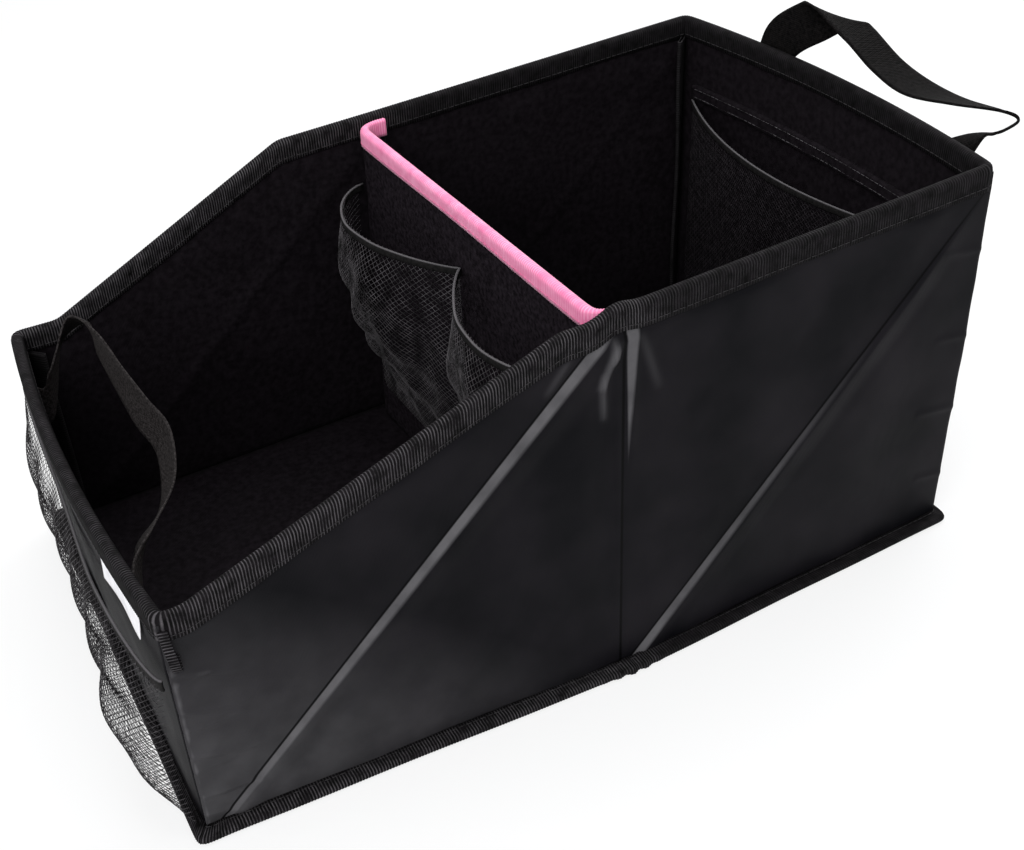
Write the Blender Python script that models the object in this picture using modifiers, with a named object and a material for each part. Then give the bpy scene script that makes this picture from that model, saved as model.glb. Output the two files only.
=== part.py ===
"""Folding car organizer bag: creased side walls, a divider with a bound top edge, net pockets.

Metres, +Z up. +X runs from the low front wall to the high rear wall, and -Y is the near side.
The origin is the middle of the base, on the surface that the bag stands on.
"""
import math

import bmesh
import bpy
import numpy as np
from mathutils import Vector

# Overall size
LENGTH = 0.430
WIDTH = 0.257
FRONT_HEIGHT = 0.130
SLOPE_HEIGHT = 0.200
FOLD_HEIGHT = 0.203
REAR_HEIGHT = 0.216
NEAR_LEVEL = 0.012
FAR_LEVEL = 0.024
NEAR_SLOPE_LENGTH = 0.190
FAR_SLOPE_LENGTH = 0.160
FOLD_DISTANCE = 0.215

# How far the soft walls stand out from straight
SIDE_PUSH = 0.009
FRONT_BOW = 0.008
REAR_BOW = 0.011

# Layers of a wall, from the outside in
CLOTH = 0.0006
BOARD = 0.0018
LINING = 0.0006
GAP = 0.0003
CORNER_GAP = 0.0009
WALL = CLOTH + GAP + BOARD + GAP + LINING

# Creases of the side walls
CREASE_INSET = 0.010
CREASE_DROP = 0.012
CREASE_HALF = 0.0030
CREASE_FADE = 0.006
CREASE_DEPTH = 0.0014
BOARD_MARGIN = 0.0015

# Binding tape, folded over the edges
TAPE = 0.0008
RIM_TAPE_DEPTH = 0.0125
RIM_SLOT = 0.0005
EDGE_DROP = 0.0016
SIDE_FLANGE = 0.0080
FRONT_FLANGE = 0.0060
REAR_FLANGE = 0.0032
SEAM_SHARE = 0.70
FLANGE_START = 0.0006
CORNER_TAPE_DEPTH = 0.011
CORNER_TAPE_SLOT = 0.0008

# Heights of the layers at the base
BASE_CLOTH_TOP = TAPE + GAP + CLOTH
ALLOWANCE_TOP = BASE_CLOTH_TOP + GAP + CLOTH
FLANGE_TOP = ALLOWANCE_TOP + GAP + TAPE
BASE_RAMP = 0.0025
FLOOR_BOARD_BOTTOM = CLOTH + GAP
FLOOR_LINING_BOTTOM = FLOOR_BOARD_BOTTOM + BOARD + GAP
FLOOR_TOP = FLOOR_LINING_BOTTOM + LINING
WALL_BOARD_BOTTOM = ALLOWANCE_TOP + 2 * GAP
RIM_BOARD_DROP = 0.015

# Divider
DIVIDER_HEIGHT = 0.200
DIVIDER_FORWARD = 0.0080
DIVIDER_SKEW = 0.0022
DIVIDER_BOARD = 0.0016
DIVIDER_TAIL = 0.007
DIVIDER_BEND = 0.004
DIVIDER_TAPE_DEPTH = 0.0095
DIVIDER_TAIL_SLOT = 0.0006
TAIL_CLEARANCE = RIM_SLOT + TAPE + 2 * GAP + CLOTH / 2 + DIVIDER_TAIL_SLOT + TAPE

# Net pockets
STRAND = 0.0030
NET = 0.0008
ELASTIC = 0.0012
NET_EDGE_GAP = 0.0008
NET_REST = 0.0012
FRONT_POCKET_HEIGHT = 0.096
FRONT_POCKET_BULGE = 0.018
FRONT_POCKET_EDGE_SHARE = 0.36
FRONT_POCKET_PINCH = 0.25
FRONT_ELASTIC = 0.006
DIVIDER_POCKET_BOTTOM = 0.030
DIVIDER_POCKET_HEIGHT = 0.167
DIVIDER_POUCH_TOP = 0.0275
DIVIDER_POUCH_MIDDLE = 0.030
DIVIDER_POUCH_SKEW = 1.3
DIVIDER_ELASTIC = 0.004
REAR_POCKET_BOTTOM = 0.030
REAR_POCKET_HEIGHT = 0.167
REAR_POCKET_BULGE = 0.034
REAR_ELASTIC = 0.004
POCKET_MARGIN = 0.012
SLIP_POCKET_HEIGHT = 0.176
SLIP_HEM = 0.008
SLIP_HEM_FOLD = 0.0018

# Webbing, strap and label
HANDLE_WIDTH = 0.026
HANDLE_THICKNESS = 0.0016
HANDLE_FAR_FOOT = 0.060
HANDLE_NEAR_FOOT = -0.086
HANDLE_FOOT_DROP = 0.052
HANDLE_REACH = 0.043
HANDLE_RISE = 0.027
STRAP_WIDTH = 0.020
STRAP_THICKNESS = 0.0012
STRAP_FOOT = 0.088
STRAP_REACH = 0.044
STRAP_RISE = 0.045
LABEL_LENGTH = 0.047
LABEL_HEIGHT = 0.014
LABEL_THICKNESS = 0.0004
LABEL_LEAN = 0.0035
LABEL_FROM_NEAR = 0.0215

FRONT = -LENGTH / 2
REAR = LENGTH / 2
HALF_WIDTH = WIDTH / 2
FOLD = FRONT + FOLD_DISTANCE
NEAR = -1
FAR = 1
SIDES = {"near": NEAR, "far": FAR}
FRONT_CREASE = ((FRONT + CREASE_INSET, 0.0), (FOLD, FOLD_HEIGHT - CREASE_DROP))
REAR_CREASE = ((FOLD + CREASE_INSET, 0.0), (REAR, REAR_HEIGHT - CREASE_DROP))


def clear_scene():
    for old in list(bpy.data.objects):
        bpy.data.objects.remove(old, do_unlink=True)


def new_collection(name):
    collection = bpy.data.collections.new(name)
    bpy.context.scene.collection.children.link(collection)
    return collection


def material(name, color, roughness):
    made = bpy.data.materials.new(name)
    made.use_nodes = True
    shader = made.node_tree.nodes["Principled BSDF"]
    shader.inputs["Base Color"].default_value = (*color, 1.0)
    shader.inputs["Roughness"].default_value = roughness
    shader.inputs["Metallic"].default_value = 0.0
    made.diffuse_color = (*color, 1.0)
    return made


def add_object(name, mesh, finish):
    mesh.materials.append(finish)
    made = bpy.data.objects.new(name, mesh)
    BAG.objects.link(made)
    return made


def solidify(made, thickness, offset):
    shell = made.modifiers.new("Solidify", "SOLIDIFY")
    shell.thickness = thickness
    shell.offset = offset
    shell.use_even_offset = True
    return made


def mesh_from(bm, name):
    mesh = bpy.data.meshes.new(name)
    bm.to_mesh(mesh)
    bm.free()
    return mesh


def quads(rows, closed=False):
    """A bmesh sheet through rows of points; closed joins each row's end to its start."""
    bm = bmesh.new()
    grid = [[bm.verts.new(point) for point in row] for row in rows]
    columns = len(rows[0])
    for low, high in zip(grid, grid[1:]):
        for i in range(columns if closed else columns - 1):
            j = (i + 1) % columns
            bm.faces.new((low[i], low[j], high[j], high[i]))
    return bm


def sheet(name, rows, thickness, offset, finish, closed=False):
    bm = quads(rows, closed)
    return solidify(add_object(name, mesh_from(bm, name), finish), thickness, offset)


def net(name, rows, finish):
    """A sheet with a gap cut in each of its cells."""
    bm = quads(rows)
    bm.normal_update()
    cells = bm.faces[:]
    bmesh.ops.inset_individual(bm, faces=cells, thickness=STRAND / 2, use_even_offset=True)
    bmesh.ops.delete(bm, geom=cells, context="FACES")
    return solidify(add_object(name, mesh_from(bm, name), finish), NET, 0.0)


def spread(low, high, count):
    return [low + (high - low) * i / (count - 1) for i in range(count)]


def smooth(points, steps):
    """Points along a Catmull-Rom curve through the given ones."""
    padded = [points[0]] + list(points) + [points[-1]]
    curve = []
    for a, b, c, d in zip(padded, padded[1:], padded[2:], padded[3:]):
        for i in range(steps):
            t = i / steps
            curve.append(0.5 * ((2 * b) + (c - a) * t + (2 * a - 5 * b + 4 * c - d) * t ** 2
                                + (3 * b - a - 3 * c + d) * t ** 3))
    curve.append(points[-1])
    return curve


def height_over(crease, x, z):
    (x0, z0), (x1, z1) = crease
    return z - (z0 + (x - x0) * (z1 - z0) / (x1 - x0))


def distance_from(crease, x, z):
    (x0, z0), (x1, z1) = crease
    return abs(height_over(crease, x, z)) * (x1 - x0) / math.hypot(x1 - x0, z1 - z0)


def flat_through(points, x, z):
    """The value at (x, z) of the plane through three (x, z, value) points."""
    rows = [(px, pz, 1.0) for px, pz, value in points]
    slope_x, slope_z, level = np.linalg.solve(rows, [value for px, pz, value in points])
    return slope_x * x + slope_z * z + level


def side_push(x, z):
    """How far the side wall stands out: its rigid boards tilt about the creases."""
    fold_foot = (FOLD, 0.0, SIDE_PUSH)
    if x < FOLD:
        if height_over(FRONT_CREASE, x, z) >= 0:
            return 0.0
        corners = [(*FRONT_CREASE[0], 0.0), fold_foot, (*FRONT_CREASE[1], 0.0)]
        return flat_through(corners, x, z)
    upper = [fold_foot, (FOLD, FOLD_HEIGHT, 0.0), (REAR, REAR_HEIGHT, 0.0)]
    if height_over(REAR_CREASE, x, z) >= 0:
        return flat_through(upper, x, z)
    start, end = [(*point, flat_through(upper, *point)) for point in REAR_CREASE]
    return flat_through([start, (REAR, 0.0, 0.0), end], x, z)


def crease_share(x, z):
    """1 in the bottom of a crease, falling to 0 at its edges."""
    crease = FRONT_CREASE if x < FOLD else REAR_CREASE
    nearest = min(abs(x - FOLD), distance_from(crease, x, z))
    fade = min(1.0, max(0.0, (REAR - x) / CREASE_FADE))
    return fade * max(0.0, 1 - nearest / CREASE_HALF)


def end_bow(y, z, height, bow):
    across = max(0.0, 1 - (y / HALF_WIDTH) ** 2)
    return bow * across * min(1.0, max(0.0, z / height))


def front_x(y, z, inward):
    return FRONT - end_bow(y, z, FRONT_HEIGHT, FRONT_BOW) + inward


def rear_x(y, z, inward):
    return REAR + end_bow(y, z, REAR_HEIGHT, REAR_BOW) - inward


def side_y(side, x, z, inward):
    return side * (HALF_WIDTH + side_push(x, z) - inward)


def rim_corners(side):
    """The rim of a side wall as (x, z), from the front to the rear."""
    level, slope = (NEAR_LEVEL, NEAR_SLOPE_LENGTH) if side == NEAR else (FAR_LEVEL, FAR_SLOPE_LENGTH)
    return [(FRONT, FRONT_HEIGHT), (FRONT + level, FRONT_HEIGHT), (FRONT + slope, SLOPE_HEIGHT),
            (FOLD, FOLD_HEIGHT), (REAR, REAR_HEIGHT)]


def rim_height(side, x):
    corners = rim_corners(side)
    return float(np.interp(x, [corner[0] for corner in corners], [corner[1] for corner in corners]))


def wall_outline(side, bottom, drop, end):
    """A side wall's outline in the XZ plane, its rim lowered and its ends drawn in."""
    rim = [(min(max(x, FRONT + end), REAR - end), z - drop) for x, z in rim_corners(side)]
    return [(FRONT + end, bottom), (REAR - end, bottom)] + rim[::-1]


def outline_face(outline):
    bm = bmesh.new()
    bm.faces.new([bm.verts.new((x, 0.0, z)) for x, z in outline])
    return bm


def cut(bm, faces, point, normal, clear=False):
    geometry = set(faces)
    for face in faces:
        geometry.update(face.edges)
        geometry.update(face.verts)
    bmesh.ops.bisect_plane(bm, geom=list(geometry), dist=1e-7, plane_co=(point[0], 0.0, point[1]),
                           plane_no=(normal[0], 0.0, normal[1]), clear_outer=clear)


def crease_normal(crease):
    (x0, z0), (x1, z1) = crease
    run = math.hypot(x1 - x0, z1 - z0)
    return (-(z1 - z0) / run, (x1 - x0) / run)


def shifted(point, normal, distance):
    return (point[0] + normal[0] * distance, point[1] + normal[1] * distance)


def crease_cuts(bm):
    """Cut edges into the sheet along both sides and the bottom of each crease."""
    for offset in (-CREASE_HALF, 0.0, CREASE_HALF):
        cut(bm, bm.faces[:], (FOLD + offset, 0.0), (1.0, 0.0))
    for crease, front_half in ((FRONT_CREASE, True), (REAR_CREASE, False)):
        normal = crease_normal(crease)
        for offset in (-CREASE_HALF, 0.0, CREASE_HALF):
            half = [face for face in bm.faces
                    if (face.calc_center_median().x < FOLD) == front_half]
            cut(bm, half, shifted(crease[0], normal, offset), normal)


def side_sheet(name, side, inward, thickness, bottom, allowance, crease_depth, finish):
    """A creased sheet of a side wall; a seam allowance can be turned out along its lower edge."""
    bm = outline_face(wall_outline(side, bottom, EDGE_DROP, inward))
    crease_cuts(bm)
    for vert in bm.verts:
        x, z = vert.co.x, vert.co.z
        depth = inward + crease_depth * crease_share(x, z)
        vert.co.y = side_y(side, x, z, depth)
    if allowance:
        lower = [edge for edge in bm.edges
                 if edge.is_boundary and all(abs(v.co.z - bottom) < 1e-6 for v in edge.verts)]
        made = bmesh.ops.extrude_edge_only(bm, edges=lower)["geom"]
        for vert in [item for item in made if isinstance(item, bmesh.types.BMVert)]:
            vert.co.y = side * (HALF_WIDTH + side_push(vert.co.x, 0.0) + SEAM_SHARE * SIDE_FLANGE)
            if abs(vert.co.x - FRONT - inward) < 1e-6:
                vert.co.x -= SEAM_SHARE * FRONT_FLANGE
            if abs(vert.co.x - REAR + inward) < 1e-6:
                vert.co.x += SEAM_SHARE * REAR_FLANGE
    bmesh.ops.recalc_face_normals(bm, faces=bm.faces)
    face_out(bm, Vector((0.0, side, 0.0)))
    return solidify(add_object(name, mesh_from(bm, name), finish), thickness, -1.0)


def face_out(bm, outward):
    """Turn the sheet's faces to look outward."""
    bm.normal_update()
    total = sum((face.normal * face.calc_area() for face in bm.faces), Vector())
    if total.dot(outward) < 0:
        bmesh.ops.reverse_faces(bm, faces=bm.faces)


def side_board(name, side, crease, keep_above, finish):
    """One triangular board between a crease, the middle fold and the edges of the wall."""
    inward = CLOTH + GAP
    bm = outline_face(wall_outline(side, WALL_BOARD_BOTTOM, RIM_BOARD_DROP, WALL + GAP))
    clearance = CREASE_HALF + BOARD_MARGIN
    in_front = crease is FRONT_CREASE
    fold_side = -1 if in_front else 1
    cut(bm, bm.faces[:], (FOLD + fold_side * clearance, 0.0), (-fold_side, 0.0), clear=True)
    normal = crease_normal(crease)
    direction = 1 if keep_above else -1
    away = (-normal[0] * direction, -normal[1] * direction)
    cut(bm, bm.faces[:], shifted(crease[0], normal, direction * clearance), away, clear=True)
    for vert in bm.verts:
        vert.co.y = side_y(side, vert.co.x, vert.co.z, inward)
    face_out(bm, Vector((0.0, side, 0.0)))
    return solidify(add_object(name, mesh_from(bm, name), finish), BOARD, -1.0)


def across(half):
    """Stations across an end wall, the same ones for each of its layers."""
    return [-half] + [HALF_WIDTH * step / 5 for step in range(-4, 5)] + [half]


def levels_between(bottom, top, height):
    """The levels of an end wall's rows, the same ones for each layer between its two edges."""
    shared = [height * step / 6 for step in range(1, 6)]
    return [bottom] + [z for z in shared if bottom < z < top] + [top]


def end_rows(place, inward, bottom, top, height, half):
    return [[(place(y, z, inward), y, z) for y in across(half)]
            for z in levels_between(bottom, top, height)]


def end_sheet(name, outward, inward, thickness, bottom, drop, half, allowance, finish):
    """One layer of the front or the rear wall."""
    place, height = (front_x, FRONT_HEIGHT) if outward < 0 else (rear_x, REAR_HEIGHT)
    rows = end_rows(place, inward, bottom, height - drop, height, half)
    if allowance:
        flange = FRONT_FLANGE if outward < 0 else REAR_FLANGE
        flare = (half + SEAM_SHARE * SIDE_FLANGE - 2 * GAP) / half
        turned = [(x + outward * SEAM_SHARE * flange, y * flare, bottom) for x, y, z in rows[0]]
        rows.insert(0, turned)
    bm = quads(rows)
    face_out(bm, Vector((outward, 0.0, 0.0)))
    return solidify(add_object(name, mesh_from(bm, name), finish), thickness, -1.0)


def plan_outline(front, side, rear):
    """The bag's plan outline, its edges moved outward; the sides are widest at the middle fold."""
    corners = {FRONT: -front, FRONT_CREASE[0][0]: 0.0, FOLD: 0.0, REAR_CREASE[0][0]: 0.0, REAR: rear}
    near = [(x + shift, side_y(NEAR, x, 0.0, -side)) for x, shift in corners.items()]
    return near + [(x, -y) for x, y in reversed(near)]


def base_outline(outward):
    return plan_outline(outward, outward, outward)


def flange_outline(start, share):
    """The plan outline moved out by a share of the flange, which is narrower at the ends."""
    return plan_outline(*(start + share * width
                          for width in (FRONT_FLANGE, SIDE_FLANGE, REAR_FLANGE)))


def loop_at(outline, z):
    return [(x, y, z) for x, y in outline]


def plate(name, rows, thickness, finish):
    """A closed-loop sheet whose last loop is filled, with its thickness laid below it."""
    bm = quads(rows, closed=True)
    bm.verts.ensure_lookup_table()
    bm.faces.new(bm.verts[-len(rows[0]):])
    face_out(bm, Vector((0.0, 0.0, 1.0)))
    return solidify(add_object(name, mesh_from(bm, name), finish), thickness, -1.0)


def flat_plate(name, outline, top, thickness, finish):
    bm = bmesh.new()
    bm.faces.new([bm.verts.new((x, y, top)) for x, y in outline])
    face_out(bm, Vector((0.0, 0.0, 1.0)))
    return solidify(add_object(name, mesh_from(bm, name), finish), thickness, -1.0)


def folded_tape(name, stations, finish, closed):
    """Tape folded down over an edge, through (top point, lower point, sideways offset)."""
    rows = [[Vector(low) + Vector(offset) for top, low, offset in stations],
            [Vector(top) + Vector(offset) for top, low, offset in stations],
            [Vector(top) - Vector(offset) for top, low, offset in stations],
            [Vector(low) - Vector(offset) for top, low, offset in stations]]
    bm = quads(rows, closed)
    face_along(bm, Vector(stations[0][2]))
    return solidify(add_object(name, mesh_from(bm, name), finish), TAPE, -1.0)


def face_along(bm, outward):
    """Turn the sheet's faces so that its first one looks outward."""
    bm.normal_update()
    bm.faces.ensure_lookup_table()
    if bm.faces[0].normal.dot(outward) < 0:
        bmesh.ops.reverse_faces(bm, faces=bm.faces)


def rim_stations():
    """The rim's middle line all round, its lower line, and the tape's offset at each point."""
    half = WALL / 2 + RIM_SLOT + TAPE
    middle = WALL / 2
    stations = []
    for side in (NEAR, FAR):
        fold_edges = [(x, rim_height(side, x)) for x in (FOLD - CREASE_HALF, FOLD + CREASE_HALF)]
        along = sorted(rim_corners(side) + fold_edges)
        for x, z in along if side == NEAR else along[::-1]:
            low = z - RIM_TAPE_DEPTH
            end = math.copysign(1.0, x) if x in (FRONT, REAR) else 0.0
            corner = side * (HALF_WIDTH - middle)
            place = {1.0: rear_x, -1.0: front_x}.get(end, lambda y, level, inward: x)
            stations.append(((place(corner, z, middle), side_y(side, x, z, middle), z),
                             (place(corner, low, middle), side_y(side, x, low, middle), low),
                             (end * half, side * half, 0.0)))
        place, z = (rear_x, REAR_HEIGHT) if side == NEAR else (front_x, FRONT_HEIGHT)
        low = z - RIM_TAPE_DEPTH
        outward = -side * half
        for y in across(HALF_WIDTH)[1:-1][::-side]:
            stations.append(((place(y, z, middle), y, z), (place(y, low, middle), y, low),
                             (outward, 0.0, 0.0)))
    return stations


def corner_tape(name, end, side, height, finish):
    """Tape over the seam that stands inward in a vertical corner."""
    corner = Vector(((REAR if end > 0 else FRONT) - end * WALL, side * (HALF_WIDTH - WALL), 0.0))
    inward = Vector((-end, -side, 0.0)).normalized()
    sideways = Vector((-inward.y, inward.x, 0.0)) * (CORNER_TAPE_SLOT / 2 + TAPE)
    root = corner + inward * (TAPE + 3 * GAP)
    tip = root + inward * CORNER_TAPE_DEPTH
    plan = [root + sideways, tip + sideways, tip - sideways, root - sideways]
    top = height - RIM_TAPE_DEPTH - GAP
    rows = [[Vector((p.x, p.y, z)) for p in plan] for z in (FLOOR_TOP + GAP, top)]
    bm = quads(rows)
    face_along(bm, sideways)
    return solidify(add_object(name, mesh_from(bm, name), finish), TAPE, -1.0)


def divider_x(y):
    """The divider stands a little askew, its far end nearer to the front."""
    return FOLD - DIVIDER_FORWARD - DIVIDER_SKEW * y / HALF_WIDTH


def divider_route(z):
    """Plan route of the divider's front cloth, its tails turned back along the side walls."""
    wall = HALF_WIDTH - WALL - TAIL_CLEARANCE + side_push(FOLD, z)
    bend = wall - DIVIDER_BEND
    near, far = [[(FOLD + DIVIDER_TAIL, side * wall), (FOLD, side * wall),
                  (divider_x(side * bend), side * bend)] for side in (NEAR, FAR)]
    return near + far[::-1]


def divider_stack():
    return CLOTH + GAP + DIVIDER_BOARD + GAP + CLOTH


def front_net_rows(columns, levels):
    rows = []
    half = HALF_WIDTH - CLOTH - GAP
    bottom = FLANGE_TOP + NET_EDGE_GAP
    top = FRONT_POCKET_HEIGHT - FRONT_ELASTIC - NET_EDGE_GAP
    for z in spread(bottom, top, levels + 1):
        level = (z - bottom) / (top - bottom)
        rows.append([front_net_point(y, z, level, half) for y in spread(-half, half, columns + 1)])
    return rows


def front_net_point(y, z, level, half):
    """The net hangs in two loose lobes, drawn in along its upper and lower edges."""
    around = math.cos(math.pi / 2 * y / half) ** 0.35 if abs(y) < half else 0.0
    lobes = 1 - FRONT_POCKET_PINCH * math.cos(math.pi * y / half)
    slack = math.sin(math.pi * level) ** 0.7 if 0 < level < 1 else 0.0
    fullness = FRONT_POCKET_EDGE_SHARE + (1 - FRONT_POCKET_EDGE_SHARE) * slack
    away = NET_REST + FRONT_POCKET_BULGE * around * lobes * fullness
    return (front_x(y, z, 0.0) - away, y, z)


def pouch(y, half):
    """Fullness of the divider pocket across its width: two pouches sewn down in the middle."""
    share = abs(y) / half
    if not 0.001 < share < 0.999:
        return 0.0
    return math.sin(math.pi * share ** DIVIDER_POUCH_SKEW) ** 0.6


def divider_face_x(y):
    return divider_x(y) - CLOTH / 2


def divider_net_half():
    return HALF_WIDTH - WALL - TAIL_CLEARANCE - DIVIDER_BEND - GAP


def divider_net_point(y, z):
    bottom = DIVIDER_POCKET_BOTTOM
    level = (z - bottom) / (DIVIDER_POCKET_HEIGHT - bottom)
    swell = DIVIDER_POUCH_TOP * level + 4 * DIVIDER_POUCH_MIDDLE * level * (1 - level) * 0.75
    away = NET_REST + pouch(y, divider_net_half()) * swell
    return (divider_face_x(y) - away, y, z)


def rear_net_half():
    return HALF_WIDTH - WALL - POCKET_MARGIN


def rear_net_point(y, z):
    level = (z - REAR_POCKET_BOTTOM) / (REAR_POCKET_HEIGHT - REAR_POCKET_BOTTOM)
    around = max(0.0, 1 - (y / rear_net_half()) ** 2)
    inward = WALL + GAP + CLOTH + NET_REST
    return (rear_x(y, z, inward) - REAR_POCKET_BULGE * around * level ** 0.7, y, z)


def net_rows(point, half, bottom, top, columns, levels):
    return [[point(y, z) for y in spread(-half, half, columns + 1)]
            for z in spread(bottom, top, levels + 1)]


def elastic_band(name, point, half, bottom, top, count, finish):
    """A band standing upright along the upper edge of a net."""
    edge = [point(y, bottom) for y in spread(-half, half, count)]
    rows = [[(x, y, z) for x, y, below in edge] for z in (bottom, top)]
    return sheet(name, rows, ELASTIC, 0.0, finish)


def ribbon(name, route, widths, width, thickness, steps, finish):
    """A flat band along a smooth route, its width turning with the given directions."""
    centres = smooth([Vector(point) for point in route], steps)
    turns = [turn.normalized() for turn in smooth([Vector(way) for way in widths], steps)]
    rows = [[centre + turn * (share * width) for centre, turn in zip(centres, turns)]
            for share in (-0.5, 0.5)]
    return sheet(name, rows, thickness, 0.0, finish)


def make_outer(cloth):
    for label, side in SIDES.items():
        side_sheet(f"outer_side_{label}", side, 0.0, CLOTH, ALLOWANCE_TOP, True, CREASE_DEPTH, cloth)
    half = HALF_WIDTH - CLOTH - CORNER_GAP
    for name, outward in (("outer_front", -1), ("outer_rear", 1)):
        end_sheet(name, outward, 0.0, CLOTH, ALLOWANCE_TOP, EDGE_DROP, half, True, cloth)
    rows = [loop_at(flange_outline(0.0, SEAM_SHARE), BASE_CLOTH_TOP),
            loop_at(base_outline(0.0), BASE_CLOTH_TOP),
            loop_at(base_outline(-BASE_RAMP), CLOTH)]
    plate("outer_base", rows, CLOTH, cloth)


def make_lining(lining):
    inward = CLOTH + GAP + BOARD + GAP
    for label, side in SIDES.items():
        side_sheet(f"lining_side_{label}", side, inward, LINING, FLOOR_LINING_BOTTOM, False, 0.0,
                   lining)
    half = HALF_WIDTH - WALL - GAP
    for name, outward in (("lining_front", -1), ("lining_rear", 1)):
        end_sheet(name, outward, inward, LINING, FLOOR_LINING_BOTTOM, EDGE_DROP, half, False, lining)
    flat_plate("lining_base", base_outline(-WALL - 2 * GAP), FLOOR_TOP, LINING, lining)


def make_boards(board):
    for label, side in SIDES.items():
        for place, crease in (("front", FRONT_CREASE), ("rear", REAR_CREASE)):
            for part, above in (("lower", False), ("upper", True)):
                side_board(f"side_board_{label}_{place}_{part}", side, crease, above, board)
    inward = CLOTH + GAP
    half = HALF_WIDTH - WALL - GAP
    for name, outward in (("front_board", -1), ("rear_board", 1)):
        end_sheet(name, outward, inward, BOARD, WALL_BOARD_BOTTOM, RIM_BOARD_DROP, half, False,
                  board)
    edge = BASE_RAMP + GAP
    fold_edge = CREASE_HALF + BOARD_MARGIN
    side = HALF_WIDTH - edge
    for name, end, sign in (("base_board_front", FRONT, -1), ("base_board_rear", REAR, 1)):
        x_end = end - sign * edge
        x_fold = FOLD + sign * fold_edge
        outline = [(x_end, -side), (x_fold, -side), (x_fold, side), (x_end, side)]
        flat_plate(name, outline, FLOOR_BOARD_BOTTOM + BOARD, BOARD, board)


def make_bindings(tape):
    folded_tape("rim_binding", rim_stations(), tape, True)
    inner = flange_outline(FLANGE_START, 0.0)
    outer = flange_outline(FLANGE_START, 1.0)
    rows = [loop_at(inner, FLANGE_TOP), loop_at(outer, FLANGE_TOP), loop_at(outer, 0.0),
            loop_at(inner, 0.0)]
    bm = quads(rows, closed=True)
    face_along(bm, Vector((0.0, 0.0, 1.0)))
    solidify(add_object("base_binding", mesh_from(bm, "base_binding"), tape), TAPE, -1.0)
    for label, side in SIDES.items():
        corner_tape(f"corner_binding_front_{label}", -1, side, FRONT_HEIGHT, tape)
        corner_tape(f"corner_binding_rear_{label}", 1, side, REAR_HEIGHT, tape)


def make_divider(felt, board, pink):
    bottom = FLOOR_TOP + GAP
    top = DIVIDER_HEIGHT - TAPE - 3 * GAP
    rows = [[(x, y, z) for x, y in divider_route(z)] for z in (bottom, top)]
    sheet("divider_front", rows, CLOTH, 0.0, felt)
    half = divider_net_half() - 6 * GAP
    board_set = CLOTH / 2 + GAP
    back_set = board_set + DIVIDER_BOARD + GAP
    for name, back, thickness, finish in (("divider_board", board_set, DIVIDER_BOARD, board),
                                          ("divider_back", back_set, CLOTH, felt)):
        bm = quads([[(divider_x(y) + back, y, z) for y in (-half, half)] for z in (bottom, top)])
        face_out(bm, Vector((-1.0, 0.0, 0.0)))
        solidify(add_object(name, mesh_from(bm, name), finish), thickness, -1.0)
    folded_tape("divider_binding", divider_tape_stations(), pink, False)


def divider_tape_stations():
    """The divider's top edge, its tape narrow on the tails and wide over the board."""
    middle = divider_stack() / 2 - CLOTH / 2
    wide = divider_stack() / 2 + GAP + TAPE
    narrow = CLOTH / 2 + DIVIDER_TAIL_SLOT + TAPE
    route = divider_route(DIVIDER_HEIGHT)
    stations = []
    for side, (tail_end, tail_foot, bend) in ((NEAR, route[:3]), (FAR, route[:2:-1])):
        lean = math.atan2(abs(bend[1] - tail_foot[1]), tail_foot[0] - bend[0] - middle)
        half = [(tail_end, narrow, 0.0), (tail_foot, narrow, lean / 2),
                ((bend[0] + middle, bend[1]), wide, math.pi / 4 + lean / 2)]
        for (x, y), width, turn in half if side == NEAR else half[::-1]:
            reach = width / math.cos(turn if turn < math.pi / 4 else math.pi / 2 - turn)
            offset = (-math.sin(turn) * reach, side * math.cos(turn) * reach, 0.0)
            low = DIVIDER_HEIGHT - DIVIDER_TAPE_DEPTH
            stations.append(((x, y, DIVIDER_HEIGHT), (x, y, low), offset))
    return stations


def make_pockets(mesh, elastic, lining):
    half = HALF_WIDTH - CLOTH - GAP
    net("front_pocket_net", front_net_rows(12, 6), mesh)
    top = FRONT_POCKET_HEIGHT
    elastic_band("front_pocket_elastic", lambda y, z: front_net_point(y, z, 1.0, half), half,
                 top - FRONT_ELASTIC, top, 13, elastic)
    half = divider_net_half()
    top = DIVIDER_POCKET_HEIGHT
    net("divider_pocket_net",
        net_rows(divider_net_point, half, DIVIDER_POCKET_BOTTOM,
                 top - DIVIDER_ELASTIC - NET_EDGE_GAP,
                 16, 5), mesh)
    elastic_band("divider_pocket_elastic", divider_net_point, half, top - DIVIDER_ELASTIC, top, 33,
                 elastic)
    half = rear_net_half()
    top = REAR_POCKET_HEIGHT
    net("rear_pocket_net",
        net_rows(rear_net_point, half, REAR_POCKET_BOTTOM,
                 top - REAR_ELASTIC - NET_EDGE_GAP, 12, 5), mesh)
    elastic_band("rear_pocket_elastic", rear_net_point, half, top - REAR_ELASTIC, top, 13, elastic)
    inner = WALL + GAP
    hem = inner + CLOTH + SLIP_HEM_FOLD
    rows = end_rows(rear_x, inner, REAR_POCKET_BOTTOM, SLIP_POCKET_HEIGHT, REAR_HEIGHT, half)
    rows += [[(rear_x(y, z, hem), y, z) for y in across(half)]
             for z in (SLIP_POCKET_HEIGHT, SLIP_POCKET_HEIGHT - SLIP_HEM)]
    bm = quads(rows)
    face_along(bm, Vector((1.0, 0.0, 0.0)))
    solidify(add_object("rear_slip_pocket", mesh_from(bm, "rear_slip_pocket"), lining), CLOTH, -1.0)


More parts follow.
